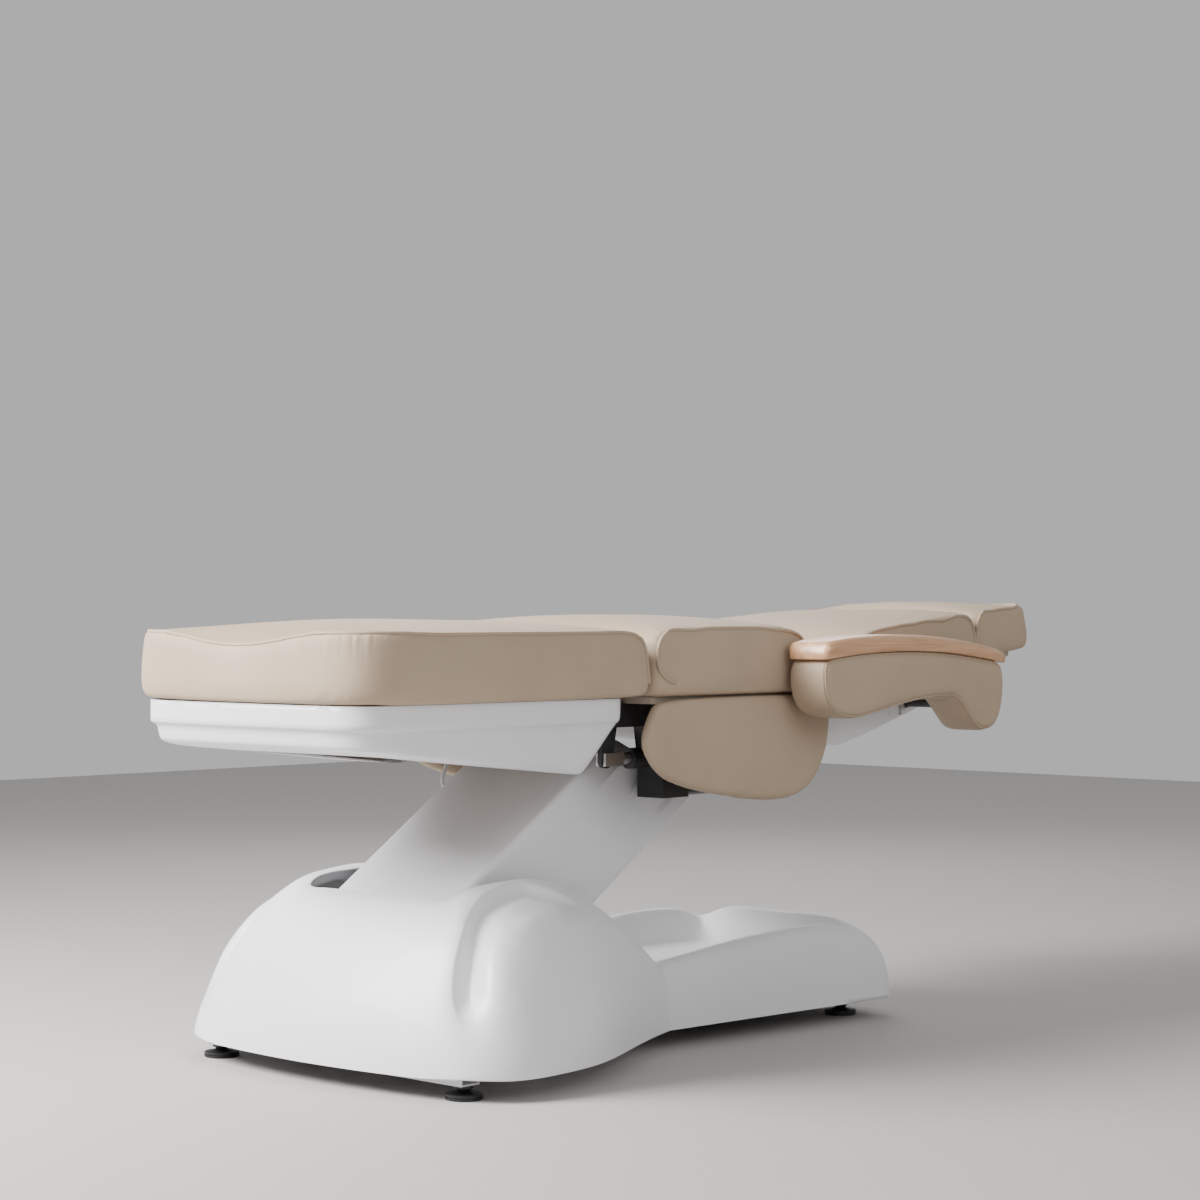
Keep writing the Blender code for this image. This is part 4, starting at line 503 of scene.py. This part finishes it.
def furthest(spots):
    """The best-scored place of each stretch of the walk, in order."""
    best = {}
    for way, score, place in spots:
        key = round(way / SEAM_PITCH)
        if key not in best or score > best[key][0]:
            best[key] = (score, place)
    return [best[key][1] for key in sorted(best)]


def side_seam(places, lie, side):
    """The upper three edges of a side band, from its foot-end corner over the top to the other corner."""
    along, up = lie
    near = [p for p in places if p.y * side > 0]
    run, half_run = middle_and_half([p.dot(along) for p in near])
    rise, half_rise = middle_and_half([p.dot(up) for p in near])
    spots = []
    for p in near:
        a, b = p.dot(along) - run, p.dot(up) - rise
        way = walk(a, b, half_run, half_rise)
        if abs(way) < half_run + 2 * half_rise - BELOW_SEAM:
            reach = b if abs(way) < half_run else abs(a)
            spots.append((way, p.y * side + reach, p))
    return furthest(spots)


def end_seam(places, lie):
    """The upper edge round the end of a cushion that no neighbour touches, which lies against along."""
    along, up = lie
    run, half_run = middle_and_half([p.dot(along) for p in places])
    half_width = max(p.y for p in places)
    spots = []
    for p in places:
        a, b = p.y, run - p.dot(along)
        if b > 0:
            way = walk(a, b, half_width, half_run)
            reach = b if abs(way) < half_width else abs(a)
            spots.append((way, reach + RISE_WEIGHT * p.dot(up), p))
    return furthest(spots)


def settle(line, surface, rounds):
    """Smooth a line between its ends and lay it back on a surface."""
    for _ in range(rounds):
        inner = [(a + 2 * b + c) / 4 for a, b, c in zip(line, line[1:], line[2:])]
        line = [line[0], *inner, line[-1]]
    return [surface.find_nearest(p)[0] for p in line]


def skin_of(piece):
    return BVHTree.FromObject(piece, bpy.context.evaluated_depsgraph_get())


def seams_of(piece, lie, free_end):
    """One seam round the free end of a cushion, or one on each side where both ends have a neighbour."""
    places = [v.co.copy() for v in piece.data.vertices]
    lines = [side_seam(places, lie, side) for _, side in SIDES]
    if free_end:
        along, _ = lie
        run, _ = middle_and_half([p.dot(along) for p in places])
        left, right = ([p for p in line if p.dot(along) > run] for line in lines)
        lines = [left[::-1] + end_seam(places, lie) + right]
    surface = skin_of(piece)
    lines = [settle(line, surface, ROUGH_ROUNDS) for line in lines]
    return [settle(even_path(rounded_path(line, 5), SEAM_STEP), surface, FINE_ROUNDS) for line in lines]


print("seams are looked for every", SEAM_PITCH, "m")

# %% [markdown]
# ## Stuffed cushions
#
# A seam holds still while the foam pushes the panels out beside it. Sculpting could fake that, but Cloth
# simulation does it by itself: the copy is remeshed into even quads, its underside and its seams are
# pinned, and a light air pressure blows the rest out. How far a point may move is capped, more on the top
# panel than on the ends that face a neighbour, so that the sections still clear each other when they move.

# %% Stuff a cushion
SIM_FRAMES = 20
PRESSURE = 4.0
SEAM_REACH = 0.006


def nearest(points):
    """A tree that finds the nearest of these points."""
    tree = KDTree(len(points))
    for i, p in enumerate(points):
        tree.insert(p, i)
    tree.balance()
    return tree


def inflate(piece, held, limit):
    """Blow a closed mesh out like a stuffed cover. limit(place, normal) is how far a point may move."""
    rest = [(v.co.copy(), v.normal.copy()) for v in piece.data.vertices]
    group = piece.vertex_groups.new(name="held")
    group.add([i for i, spot in enumerate(rest) if held(*spot)], 1.0, "REPLACE")
    take(piece)
    cloth = piece.modifiers.new("stuffing", "CLOTH")
    cloth.settings.vertex_group_mass = "held"
    cloth.settings.use_pressure = True
    cloth.settings.uniform_pressure_force = PRESSURE
    cloth.settings.effector_weights.gravity = 0.0
    cloth.point_cache.frame_end = SIM_FRAMES
    for step in range(1, SIM_FRAMES + 1):
        bpy.context.scene.frame_set(step)
    bpy.ops.object.modifier_apply(modifier=cloth.name)
    piece.vertex_groups.clear()
    for v, (place, normal) in zip(piece.data.vertices, rest):
        move = v.co - place
        most = limit(place, normal)
        if move.length > most:
            v.co = place + move.normalized() * most


BACK_FOLD_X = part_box("seat_cushion")[1][0]
FOLD_REACH = 0.11
UPWARDS = 0.3
TOPMOST = 0.5
SQUARE_ON = 0.7
UNDERSIDE = 0.008


def stuffed(node, name, lie, seams, voxel, top, side, end, tucked=0.0):
    """A pad from its solid: smoothed, remeshed, blown out between its seams and subdivided.

    Its top edge is first pulled up by the length that is tucked under a cap. Where the back folds up
    against the seat, it hardly swells.
    """
    along, up = lie
    piece = copy_of(node, name)
    edge = [v for v in piece.data.vertices if v.normal.dot(up) > UPWARDS]
    for v in edge:
        v.co += up * tucked
    subdivide(piece, 2)
    apply(piece, "REMESH", mode="VOXEL", voxel_size=voxel)
    lines = seams(piece)
    sewn = nearest([p for line in lines for p in line]) if lines else None
    low = min(v.co.dot(up) for v in piece.data.vertices)

    def held(place, normal):
        under = normal.dot(up) < -SQUARE_ON and place.dot(up) < low + UNDERSIDE
        return under or (sewn is not None and sewn.find(place)[2] < SEAM_REACH)

    def limit(place, normal):
        share = ease(abs(place.x - BACK_FOLD_X) / FOLD_REACH)
        if normal.dot(up) > TOPMOST:
            return top * share
        return end if abs(normal.dot(along)) > SQUARE_ON else side * share

    inflate(piece, held, limit)
    subdivide(piece, 1)
    return smooth_shade(piece, 60), lines


print("the back folds up against the seat at x =", round(BACK_FOLD_X, 3))

# %% Stuff the four sections
TOWARDS_HEAD = (-RECLINED[0], RECLINED[1])
SECTIONS = (("leg_cushion", UPRIGHT, True), ("seat_cushion", UPRIGHT, False),
            ("back_cushion", RECLINED, False), ("head_cushion", TOWARDS_HEAD, True))
CUSHIONS = {}
SEAMS = {}
for node, lie, free_end in SECTIONS:
    CUSHIONS[node], SEAMS[node] = stuffed(node, node.replace("cushion", "upholstery"), lie,
                                          lambda piece: seams_of(piece, lie, free_end),
                                          voxel=0.0075, top=0.006, side=0.003, end=0.0008)
    dress(CUSHIONS[node], "leatherette", BODY_OF[node], node)
    print(node, len(CUSHIONS[node].data.polygons), "faces")

# %% [markdown]
# ## Gathers at the foot corners
#
# The band runs on round the two foot corners, and beside them, on the foot end, the cover gathers into short
# upright folds just below the seam. They are too fine for the remeshed cloth, so they are pressed into the
# subdivided mesh: a wave along the seam that dies away downwards and to both sides.

# %% Press in the gathers
FOLD_PITCH = 0.017
FOLD_DEPTH = 0.0016
FOLD_FADE = 0.020
FOLD_STRAY = 0.004
STRAY_RATE = 1.7
FOLD_START = 0.004
BELOW_WELT = 0.002
GATHER_FROM_END = 0.015
GATHER_ASIDE = 0.205
GATHER_REACH = 0.090

leg_seam = SEAMS["leg_cushion"][0]
leg_line = nearest(leg_seam)
foot_x = min(p.x for p in leg_seam)
folded = 0
for v in CUSHIONS["leg_cushion"].data.vertices:
    spot, index, away = leg_line.find(v.co)
    if away > 3 * FOLD_FADE or v.co.z > spot.z - BELOW_WELT:
        continue
    from_gather = hypot(spot.x - foot_x - GATHER_FROM_END, abs(spot.y) - GATHER_ASIDE)
    share = max(0.0, 1 - from_gather / GATHER_REACH)
    if share > 0:
        run = index * SEAM_STEP + FOLD_STRAY * sin(index * STRAY_RATE)
        depth = FOLD_DEPTH * sqrt(share) * exp(-away / FOLD_FADE) * min(1.0, away / FOLD_START)
        v.co += v.normal * depth * sin(run * 2 * pi / FOLD_PITCH)
        folded += 1
print("points moved into gathers:", folded)

# %% [markdown]
# ## Welts
#
# A welt is a strip of the cover sewn round a thin cord, set into the seam. It could be a raised line in the
# bump map, but it stands proud by half its thickness and catches the light, so it is a real tube that
# follows the seam. Its surface leans a little out of the cover, as a cord does that two layers hold.

# %% Sew in the welts
WELT_RADIUS = 0.0032


def welt(name, line, piece, body, radius=WELT_RADIUS, proud=0.25, closed=False):
    """A welt along a seam, lying on a pad's surface and standing proud by a share of its radius."""
    surface = skin_of(piece)
    points = []
    for p in line:
        spot, normal, _, _ = surface.find_nearest(p)
        points.append(spot + normal * radius * proud)
    return dress(tube(name, points, radius, closed=closed), "leatherette", body)


for node, lines in SEAMS.items():
    for line, (side_name, _) in zip(lines, SIDES):
        welt(f"{node.replace('cushion', 'welt')}_{side_name}", line, CUSHIONS[node], BODY_OF[node])
print("welts:", sum(len(lines) for lines in SEAMS.values()))

# %% [markdown]
# ## Side panels and armrests
#
# The two side panels and the armrest bodies are thin pads in the same leatherette, stretched over a board.
# They hardly swell, so the same stuffing runs with a smaller limit. The outer cover of an armrest is sewn
# on along its rim, with a row of stitches beside the seam at the front. The rim is a loop of points in the
# solid, so the seam is walked along that loop and not drawn again.

# %% Stuff the side panels and the armrest bodies
UNDER_CAP = 0.007
PADS = {}
for side_name, _ in SIDES:
    for node, most, tucked in ((f"{side_name}_apron", 0.0012, 0.0),
                               (f"{side_name}_armrest_body", 0.0018, UNDER_CAP)):
        PADS[node], _ = stuffed(node, node.replace("_body", "") + "_upholstery", UPRIGHT, lambda piece: [],
                                voxel=0.006, top=most, side=most, end=most, tucked=tucked)
        dress(PADS[node], "leatherette", BODY_OF[node], node)
        print(node, len(PADS[node].data.polygons), "faces")

# %% Sew the armrest covers
RIM_FROM_FACE = 0.005
RIM_WITHIN = 0.0004
RIM_WELT = 0.0015
RIM_PROUD = 0.45
RIM_PRESSED = 0.0016
RIM_REACH = 0.010
STITCH_LENGTH = 0.0046
STITCH_PITCH = 0.0068
STITCH_RADIUS = 0.0008
STITCH_PROUD = 0.6
STITCH_AWAY = 0.0060
STITCH_FRONT = 0.030


def rim_loop(node, depth):
    """The closed loop of a solid's points at a depth below its outer face, walked from edge to edge."""
    low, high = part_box(node)
    outer = max(abs(low[1]), abs(high[1])) - depth
    shape = bmesh.new()
    shape.from_mesh(NODES[node].data)
    bmesh.ops.remove_doubles(shape, verts=shape.verts, dist=MERGED_WITHIN)
    ring = {v for v in shape.verts if abs(abs(v.co.y) - outer) < RIM_WITHIN}
    line = [min(ring, key=lambda v: v.co.x)]
    while True:
        ahead = [e.other_vert(line[-1]) for e in line[-1].link_edges]
        ahead = [v for v in ahead if v in ring and v not in line]
        if not ahead:
            break
        line.append(min(ahead, key=lambda v: (v.co - line[-1].co).length))
    points = [v.co.copy() for v in line]
    shape.free()
    return points


def press_line(piece, line, depth, reach):
    """Draw a pad's surface in along a seam, so that the panel beside it swells."""
    tree = nearest(line)
    moves = []
    for v in piece.data.vertices:
        away = tree.find(v.co)[2]
        if away < reach:
            moves.append((v, v.normal * depth * (ease(away / reach) - 1)))
    for v, move in moves:
        v.co += move


def stitches(name, line, piece, body):
    """A row of short threads along a line on a pad's surface."""
    surface = skin_of(piece)
    run = even_path(line, STITCH_PITCH)
    threads = []
    for a, b in zip(run, run[1:]):
        ends = []
        for p in (a, a + (b - a).normalized() * STITCH_LENGTH):
            spot, normal, _, _ = surface.find_nearest(p)
            ends.append(spot + normal * STITCH_RADIUS * STITCH_PROUD)
        threads.append(tube(f"{name}_{len(threads)}", ends, STITCH_RADIUS, sides=0))
    bpy.ops.object.select_all(action="DESELECT")
    for thread in threads:
        thread.select_set(True)
    bpy.context.view_layer.objects.active = threads[0]
    bpy.ops.object.join()
    row = bpy.context.object
    row.name = name
    return dress(row, "leatherette", body)


for side_name, side in SIDES:
    node = f"{side_name}_armrest_body"
    rim = rounded_path(rim_loop(node, RIM_FROM_FACE), 4, closed=True)
    press_line(PADS[node], rim, RIM_PRESSED, RIM_REACH)
    welt(f"{side_name}_armrest_seam", rim, PADS[node], BODY_OF[node], RIM_WELT, RIM_PROUD, closed=True)
    front = min(p.x for p in rim)
    corner = sorted((p for p in rim if p.x < front + STITCH_FRONT), key=lambda p: p.z)
    row = [p + Vector((0, -side * STITCH_AWAY, 0)) for p in corner]
    stitches(f"{side_name}_armrest_stitches", row, PADS[node], BODY_OF[node])
    print(node, "rim of", len(rim), "points")

# %% [markdown]
# ## Wooden caps
#
# The armrest caps are solid oak, planed flat below and rounded above. The copy keeps the solid's form,
# and a Bevel takes the sharpness off its edges, as a sander does.

# %% Round the wooden caps
CAP_ROUNDING = 0.0028

for side_name, _ in SIDES:
    node = f"{side_name}_armrest_cap"
    cap = copy_of(node, f"{side_name}_armrest_wood")
    apply(cap, "BEVEL", width=CAP_ROUNDING, segments=3, limit_method="ANGLE", angle_limit=radians(50))
    smooth_shade(cap, 40)
    dress(cap, SLOT_OF[node], BODY_OF[node], node)
    print(node, len(cap.data.polygons), "faces")

# %% [markdown]
# ## Moulded covers
#
# The base cover, the arm cover and the two undershells are vacuum-formed plastic: broad soft surfaces with
# a crisp trimmed rim. The CAD shells already carry the run of the form in coarse faces. Subdivision Surface
# turns those into one smooth skin, and only the rims and the crease lines are kept sharp.

# %% Smooth the moulded covers
TAIL_FOLD = (LEG_HINGE.x + 0.1275, LEG_HINGE.x + 0.1395)
SHARP_FROM = {"base_cover": 52, "leg_shell": 55, "back_shell": 45, "arm_cover": 45}


def crease_between(piece, low, high):
    """Crease the edges that run across the piece between two stations."""
    shape = bmesh.new()
    shape.from_mesh(piece.data)
    weights = shape.edges.layers.float.get("crease_edge")
    across = [e for e in shape.edges if all(low < v.co.x < high for v in e.verts)]
    for edge in across:
        edge[weights] = 1.0
    shape.to_mesh(piece.data)
    shape.free()
    return len(across)


SKINS = {}
for node, sharp in SHARP_FROM.items():
    skin = copy_of(node, node + "_skin")
    crease(skin, sharp)
    if node == "base_cover":
        print("edges folded where the tail begins:", crease_between(skin, *TAIL_FOLD))
    subdivide(skin, 2)
    smooth_shade(skin, 45)
    SKINS[node] = dress(skin, SLOT_OF[node], BODY_OF[node], node)
    print(node, len(skin.data.polygons), "faces")

# %% [markdown]
# ## Fender crease
#
# On each foot corner of the base a fender stands out of the dome, and where the two meet the moulding has
# a crease: it starts near the floor, runs up the corner and bends back over the hump. The solid has the
# broad hollow beside it. The crease itself is drawn where the camera sees it: its pixels are cast from the
# camera onto the skin, mirrored to the other corner, and the skin is pressed in on the fender's side.

# %% Press in the fender crease
CREASE_PIXELS = ((468, 1036), (456, 1014), (452, 990), (454, 965), (460, 940), (469, 915), (482, 896),
                 (500, 885), (522, 881), (546, 887), (572, 899), (594, 914))
HOLLOW_DEPTH = 0.013
HOLLOW_LOW = 0.066
HOLLOW_HIGH = 0.044
VALLEY = 0.38
SMOOTHED = 0.100
FINE = 0.030
FACING_SPAN = 6
CREASE_STEP = 0.004
FADE_LOW = 0.16
FADE_HIGH = 0.25
FRAME_PIXELS = 1200


def pixel_ray(x, y):
    """From the camera through a pixel of the frame."""
    span = camera_data.sensor_width / camera_data.lens
    turn = camera.rotation_euler.to_matrix()
    across = (x / FRAME_PIXELS - 0.5) * span
    rise = (0.5 - y / FRAME_PIXELS + HORIZON_SHIFT) * span
    return (turn @ Vector((across, rise, -1.0))).normalized()


def valley(share):
    """The depth across the hollow: a fold at the crease, deepest at the valley, then up to the fender."""
    if share < 0:
        return 0.0
    if share < VALLEY:
        return sin(pi / 2 * share / VALLEY)
    return 1 - ease((share - VALLEY) / (1 - VALLEY))


cover = SKINS["base_cover"]
surface = skin_of(cover)
hits = [surface.ray_cast(camera.location, pixel_ray(*pixel))[0] for pixel in CREASE_PIXELS]
near_line = even_path(rounded_path([p for p in hits if p], 8), CREASE_STEP)
near_facing = [surface.find_nearest(p)[1] for p in near_line]
near_facing = [sum(near_facing[max(i - FACING_SPAN, 0):i + FACING_SPAN + 1], Vector()).normalized()
               for i in range(len(near_facing))]


def mirrored(vectors):
    return [Vector((v.x, -v.y, v.z)) for v in vectors]


CREASES = (near_line, mirrored(near_line))
FACINGS = (near_facing, mirrored(near_facing))
print("crease of", len(near_line), "points, from", tuple(round(c, 3) for c in near_line[0]))

# %% Smooth the corner, then fold it along the crease
group = cover.vertex_groups.new(name="corner")
both = nearest(CREASES[0] + CREASES[1])
for v in cover.data.vertices:
    away = both.find(v.co)[2]
    if away < SMOOTHED:
        group.add([v.index], ease(2 - 2 * away / SMOOTHED), "REPLACE")
apply(cover, "SMOOTH", factor=0.5, iterations=50, vertex_group="corner")
cover.vertex_groups.clear()
take(cover)
bpy.ops.object.mode_set(mode="EDIT")
bpy.ops.mesh.select_all(action="DESELECT")
shape = bmesh.from_edit_mesh(cover.data)
for face in shape.faces:
    face.select = both.find(face.calc_center_median())[2] < FINE
bmesh.update_edit_mesh(cover.data)
bpy.ops.mesh.subdivide(number_cuts=1)
bpy.ops.object.mode_set(mode="OBJECT")

pressed = 0
for line, facing, way in zip(CREASES, FACINGS, (1, -1)):
    tree = nearest(line)
    moves = []
    for v in cover.data.vertices:
        spot, i, away = tree.find(v.co)
        share = i / (len(line) - 1)
        hollow = HOLLOW_LOW + (HOLLOW_HIGH - HOLLOW_LOW) * share
        if away > hollow:
            continue
        run = (line[min(i + 2, len(line) - 1)] - line[max(i - 2, 0)]).normalized()
        off = (v.co - spot).dot(run.cross(facing[i])) * way
        fade = ease(share / FADE_LOW) * ease((1 - share) / FADE_HIGH)
        moves.append((v, facing[i] * -HOLLOW_DEPTH * valley(off / hollow) * fade))
    for v, move in moves:
        v.co += move
    pressed += len(moves)
smooth_shade(cover, 45)
print("points pressed into the hollow:", pressed)

# %% [markdown]
# ## Levelling feet
#
# Each foot is a black pad with a grooved rim, a threaded stud and a lock nut under the tube. It is turned
# work, so it starts as a disc that is extruded and scaled upwards ring by ring, as a lathe tool would step
# along it. The nut starts as a six-sided prism whose corners are bevelled.

# %% Model one foot and copy it
FOOT_BASE = 0.05
BASE_WIDTH = 0.95
FOOT_RINGS = ((0.04, 1.052), (0.11, 1.0), (0.02, 0.95), (0.04, 1.0), (0.02, 1.052), (0.11, 1.0),
              (0.04, 0.96), (0.05, 0.62), (0.05, 0.85))
THREAD_TURNS = 5
THREAD_NECK = 0.66
THREAD_GROOVE = 0.90
NUT_WIDTH = 0.52
NUT_HEIGHT = 0.20
NUT_MIDDLE = 0.88


def raise_ring(height, scale):
    """Extrude the selected top face upwards and scale it about its own middle."""
    bpy.ops.mesh.extrude_region_move(TRANSFORM_OT_translate={"value": (0, 0, height)})
    bpy.ops.transform.resize(value=(scale, scale, 1))


def foot_pad(low, high):
    """A pad with a stud, from the floor to the tube, about the origin."""
    radius = (high[0] - low[0]) / 2
    height = high[2] - low[2]
    bpy.ops.object.select_all(action="DESELECT")
    bpy.ops.mesh.primitive_cylinder_add(vertices=40, radius=radius * BASE_WIDTH, depth=height * FOOT_BASE,
                                        location=(0, 0, height * FOOT_BASE / 2))
    pad = bpy.context.object
    bpy.ops.object.transform_apply(location=True)
    bpy.ops.object.mode_set(mode="EDIT")
    bpy.ops.mesh.select_all(action="DESELECT")
    shape = bmesh.from_edit_mesh(pad.data)
    for face in shape.faces:
        face.select = face.normal.z > 0.9
    bmesh.update_edit_mesh(pad.data)
    for rise, scale in FOOT_RINGS:
        raise_ring(height * rise, scale)
    stud = height * (1 - FOOT_BASE - sum(rise for rise, _ in FOOT_RINGS)) / (2 * THREAD_TURNS)
    for turn in range(THREAD_TURNS):
        raise_ring(stud, THREAD_GROOVE if turn else THREAD_NECK)
        raise_ring(stud, 1 / THREAD_GROOVE)
    bpy.ops.object.mode_set(mode="OBJECT")
    return pad


def lock_nut(low, high):
    """A six-sided nut at the top of a foot's stud."""
    radius = (high[0] - low[0]) / 2
    height = high[2] - low[2]
    bpy.ops.object.select_all(action="DESELECT")
    bpy.ops.mesh.primitive_cylinder_add(vertices=6, radius=radius * NUT_WIDTH, depth=height * NUT_HEIGHT,
                                        location=(0, 0, height * NUT_MIDDLE))
    nut = bpy.context.object
    bpy.ops.object.transform_apply(location=True)
    return apply(nut, "BEVEL", width=0.0008, segments=2)


for side_name, _ in SIDES:
    for end in ("foot_end", "tail_end"):
        node = f"{side_name}_{end}_foot"
        low, high = (Vector(corner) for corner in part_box(node))
        nut = lock_nut(low, high)
        foot = foot_pad(low, high)
        take(foot)
        nut.select_set(True)
        bpy.ops.object.join()
        foot.name = node + "_turned"
        foot.location = Vector(((low.x + high.x) / 2, (low.y + high.y) / 2, low.z))
        bpy.ops.object.transform_apply(location=True)
        smooth_shade(foot, 30)
        dress(foot, SLOT_OF[node], BODY_OF[node], node)
print("feet:", len(foot.data.polygons), "faces each")

# %% [markdown]
# ## Adjusting slots
#
# On each side wall of the back undershell, behind the armrest, two upright slots show where the shell is
# screwed to its bracket, the rear one with its bolt. A slot starts as a short cylinder whose upper half is
# moved up, which makes it an oblong. Its face is inset and pushed in, and the whole is set on the wall
# where the camera sees it.

# %% Model the adjusting slots
SLOT_PIXELS = (((889, 713), 0.007, 0.014), ((900, 710), 0.008, 0.017))
SLOT_DEPTH = 0.006
SLOT_RIM = 0.0012
SLOT_SUNK = 0.0030
SLOT_PROUD = 0.0006
BOLT_WIDTH = 0.62
BOLT_DEPTH = 0.004
BOLT_RIM = 0.0014
BOLT_SUNK = 0.0012


def oblong(width, length, depth, sides=24):
    """An upright oblong boss about the origin, with its face towards -Y."""
    bpy.ops.object.select_all(action="DESELECT")
    bpy.ops.mesh.primitive_cylinder_add(vertices=sides, radius=width / 2, depth=depth,
                                        rotation=(radians(90), 0, 0))
    boss = bpy.context.object
    bpy.ops.object.transform_apply(rotation=True)
    for v in boss.data.vertices:
        v.co.z += (length - width) / 2 * (1 if v.co.z > 0 else -1)
    return boss


def sink_face(boss, rim, depth):
    """Inset the face towards -Y and push it in."""
    take(boss)
    bpy.ops.object.mode_set(mode="EDIT")
    bpy.ops.mesh.select_all(action="DESELECT")
    shape = bmesh.from_edit_mesh(boss.data)
    for face in shape.faces:
        face.select = face.normal.y < -0.9
    bmesh.update_edit_mesh(boss.data)
    bpy.ops.mesh.inset(thickness=rim)
    bpy.ops.mesh.extrude_region_move(TRANSFORM_OT_translate={"value": (0, depth, 0)})
    bpy.ops.object.mode_set(mode="OBJECT")
    return boss


def set_on_wall(boss, spot, normal):
    """Turn a boss that faces -Y to a wall's normal, put it there and apply its place."""
    boss.location = spot
    boss.rotation_euler = (0, 0, atan2(normal.y, normal.x) + pi / 2)
    take(boss)
    bpy.ops.object.transform_apply(location=True, rotation=True)
    return smooth_shade(boss, 30)


shell = skin_of(SKINS["back_shell"])
for number, (pixel, width, length) in enumerate(SLOT_PIXELS):
    spot, normal, _, _ = shell.ray_cast(camera.location, pixel_ray(*pixel))
    for side_name, side in SIDES:
        place_at = Vector((spot.x, -spot.y * side, spot.z))
        facing = Vector((normal.x, -normal.y * side, normal.z))
        middle = place_at + facing * (SLOT_PROUD - SLOT_DEPTH / 2)
        rim = sink_face(oblong(width, length, SLOT_DEPTH), SLOT_RIM, SLOT_SUNK)
        rim.name = f"{side_name}_shell_slot_{number}"
        set_on_wall(rim, middle, facing)
        dress(rim, "dark_steel" if number else "white_abs", BODY_OF["back_shell"])
        if number:
            head = oblong(width * BOLT_WIDTH, width * BOLT_WIDTH, BOLT_DEPTH, sides=6)
            bolt = sink_face(head, BOLT_RIM, BOLT_SUNK)
            bolt.name = f"{side_name}_shell_bolt"
            set_on_wall(bolt, middle, facing)
            dress(bolt, "bright_steel", BODY_OF["back_shell"])
print("slots at", tuple(round(c, 3) for c in spot))

# %% [markdown]
# ## Floor and light
#
# A plain pale floor catches the contact shadows, and the world behind it is an even pale grey. Small
# lamps would put hard glints on the satin covers, so the light comes from three large soft panels: a key
# high over the far foot corner, a wide fill from the camera's side and a weak one behind the head.

# %% Build the studio
FLOOR_SIZE = 14.0
FLOOR_COLOUR = (0.46, 0.44, 0.42)
FLOOR_SPECK = 0.96
WORLD_COLOUR = (0.80, 0.80, 0.81, 1.0)
WORLD_STRENGTH = 0.66

bpy.ops.object.select_all(action="DESELECT")
bpy.ops.mesh.primitive_plane_add(size=FLOOR_SIZE)
floor = bpy.context.object
floor.name = "studio_floor"


def floor_paint(bare):
    speck = cloud(bare, place(bare), 40.0, 4.0)
    return {"Base Color": speck.tint(FLOOR_COLOUR, tuple(c * FLOOR_SPECK for c in FLOOR_COLOUR)),
            "Roughness": 0.70 + speck * 0.1}


floor.data.materials.append(finish("studio_floor", floor_paint))

world = bpy.data.worlds.new("studio_world")
world.use_nodes = True
backdrop = world.node_tree.nodes["Background"]
backdrop.inputs["Color"].default_value = WORLD_COLOUR
backdrop.inputs["Strength"].default_value = WORLD_STRENGTH
bpy.context.scene.world = world


def soft_panel(name, spot, aim, size, watts):
    """A rectangular lamp that faces the point it aims at."""
    data = bpy.data.lights.new(name, "AREA")
    data.shape = "RECTANGLE"
    data.size, data.size_y = size
    data.energy = watts
    panel = bpy.data.objects.new(name, data)
    panel.location = spot
    panel.rotation_euler = (Vector(aim) - Vector(spot)).to_track_quat("-Z", "Y").to_euler()
    bpy.context.scene.collection.objects.link(panel)
    print(name, "of", watts, "W")


soft_panel("key_panel", spot=(-2.9, 1.35, 2.4), aim=(-0.3, 0.0, 0.45), size=(1.8, 1.8), watts=430.0)
soft_panel("fill_panel", spot=(-0.6, -4.0, 2.4), aim=(0.1, 0.0, 0.4), size=(3.0, 2.0), watts=46.0)
soft_panel("back_panel", spot=(2.6, 2.4, 2.4), aim=(0.2, 0.0, 0.5), size=(2.0, 2.0), watts=30.0)
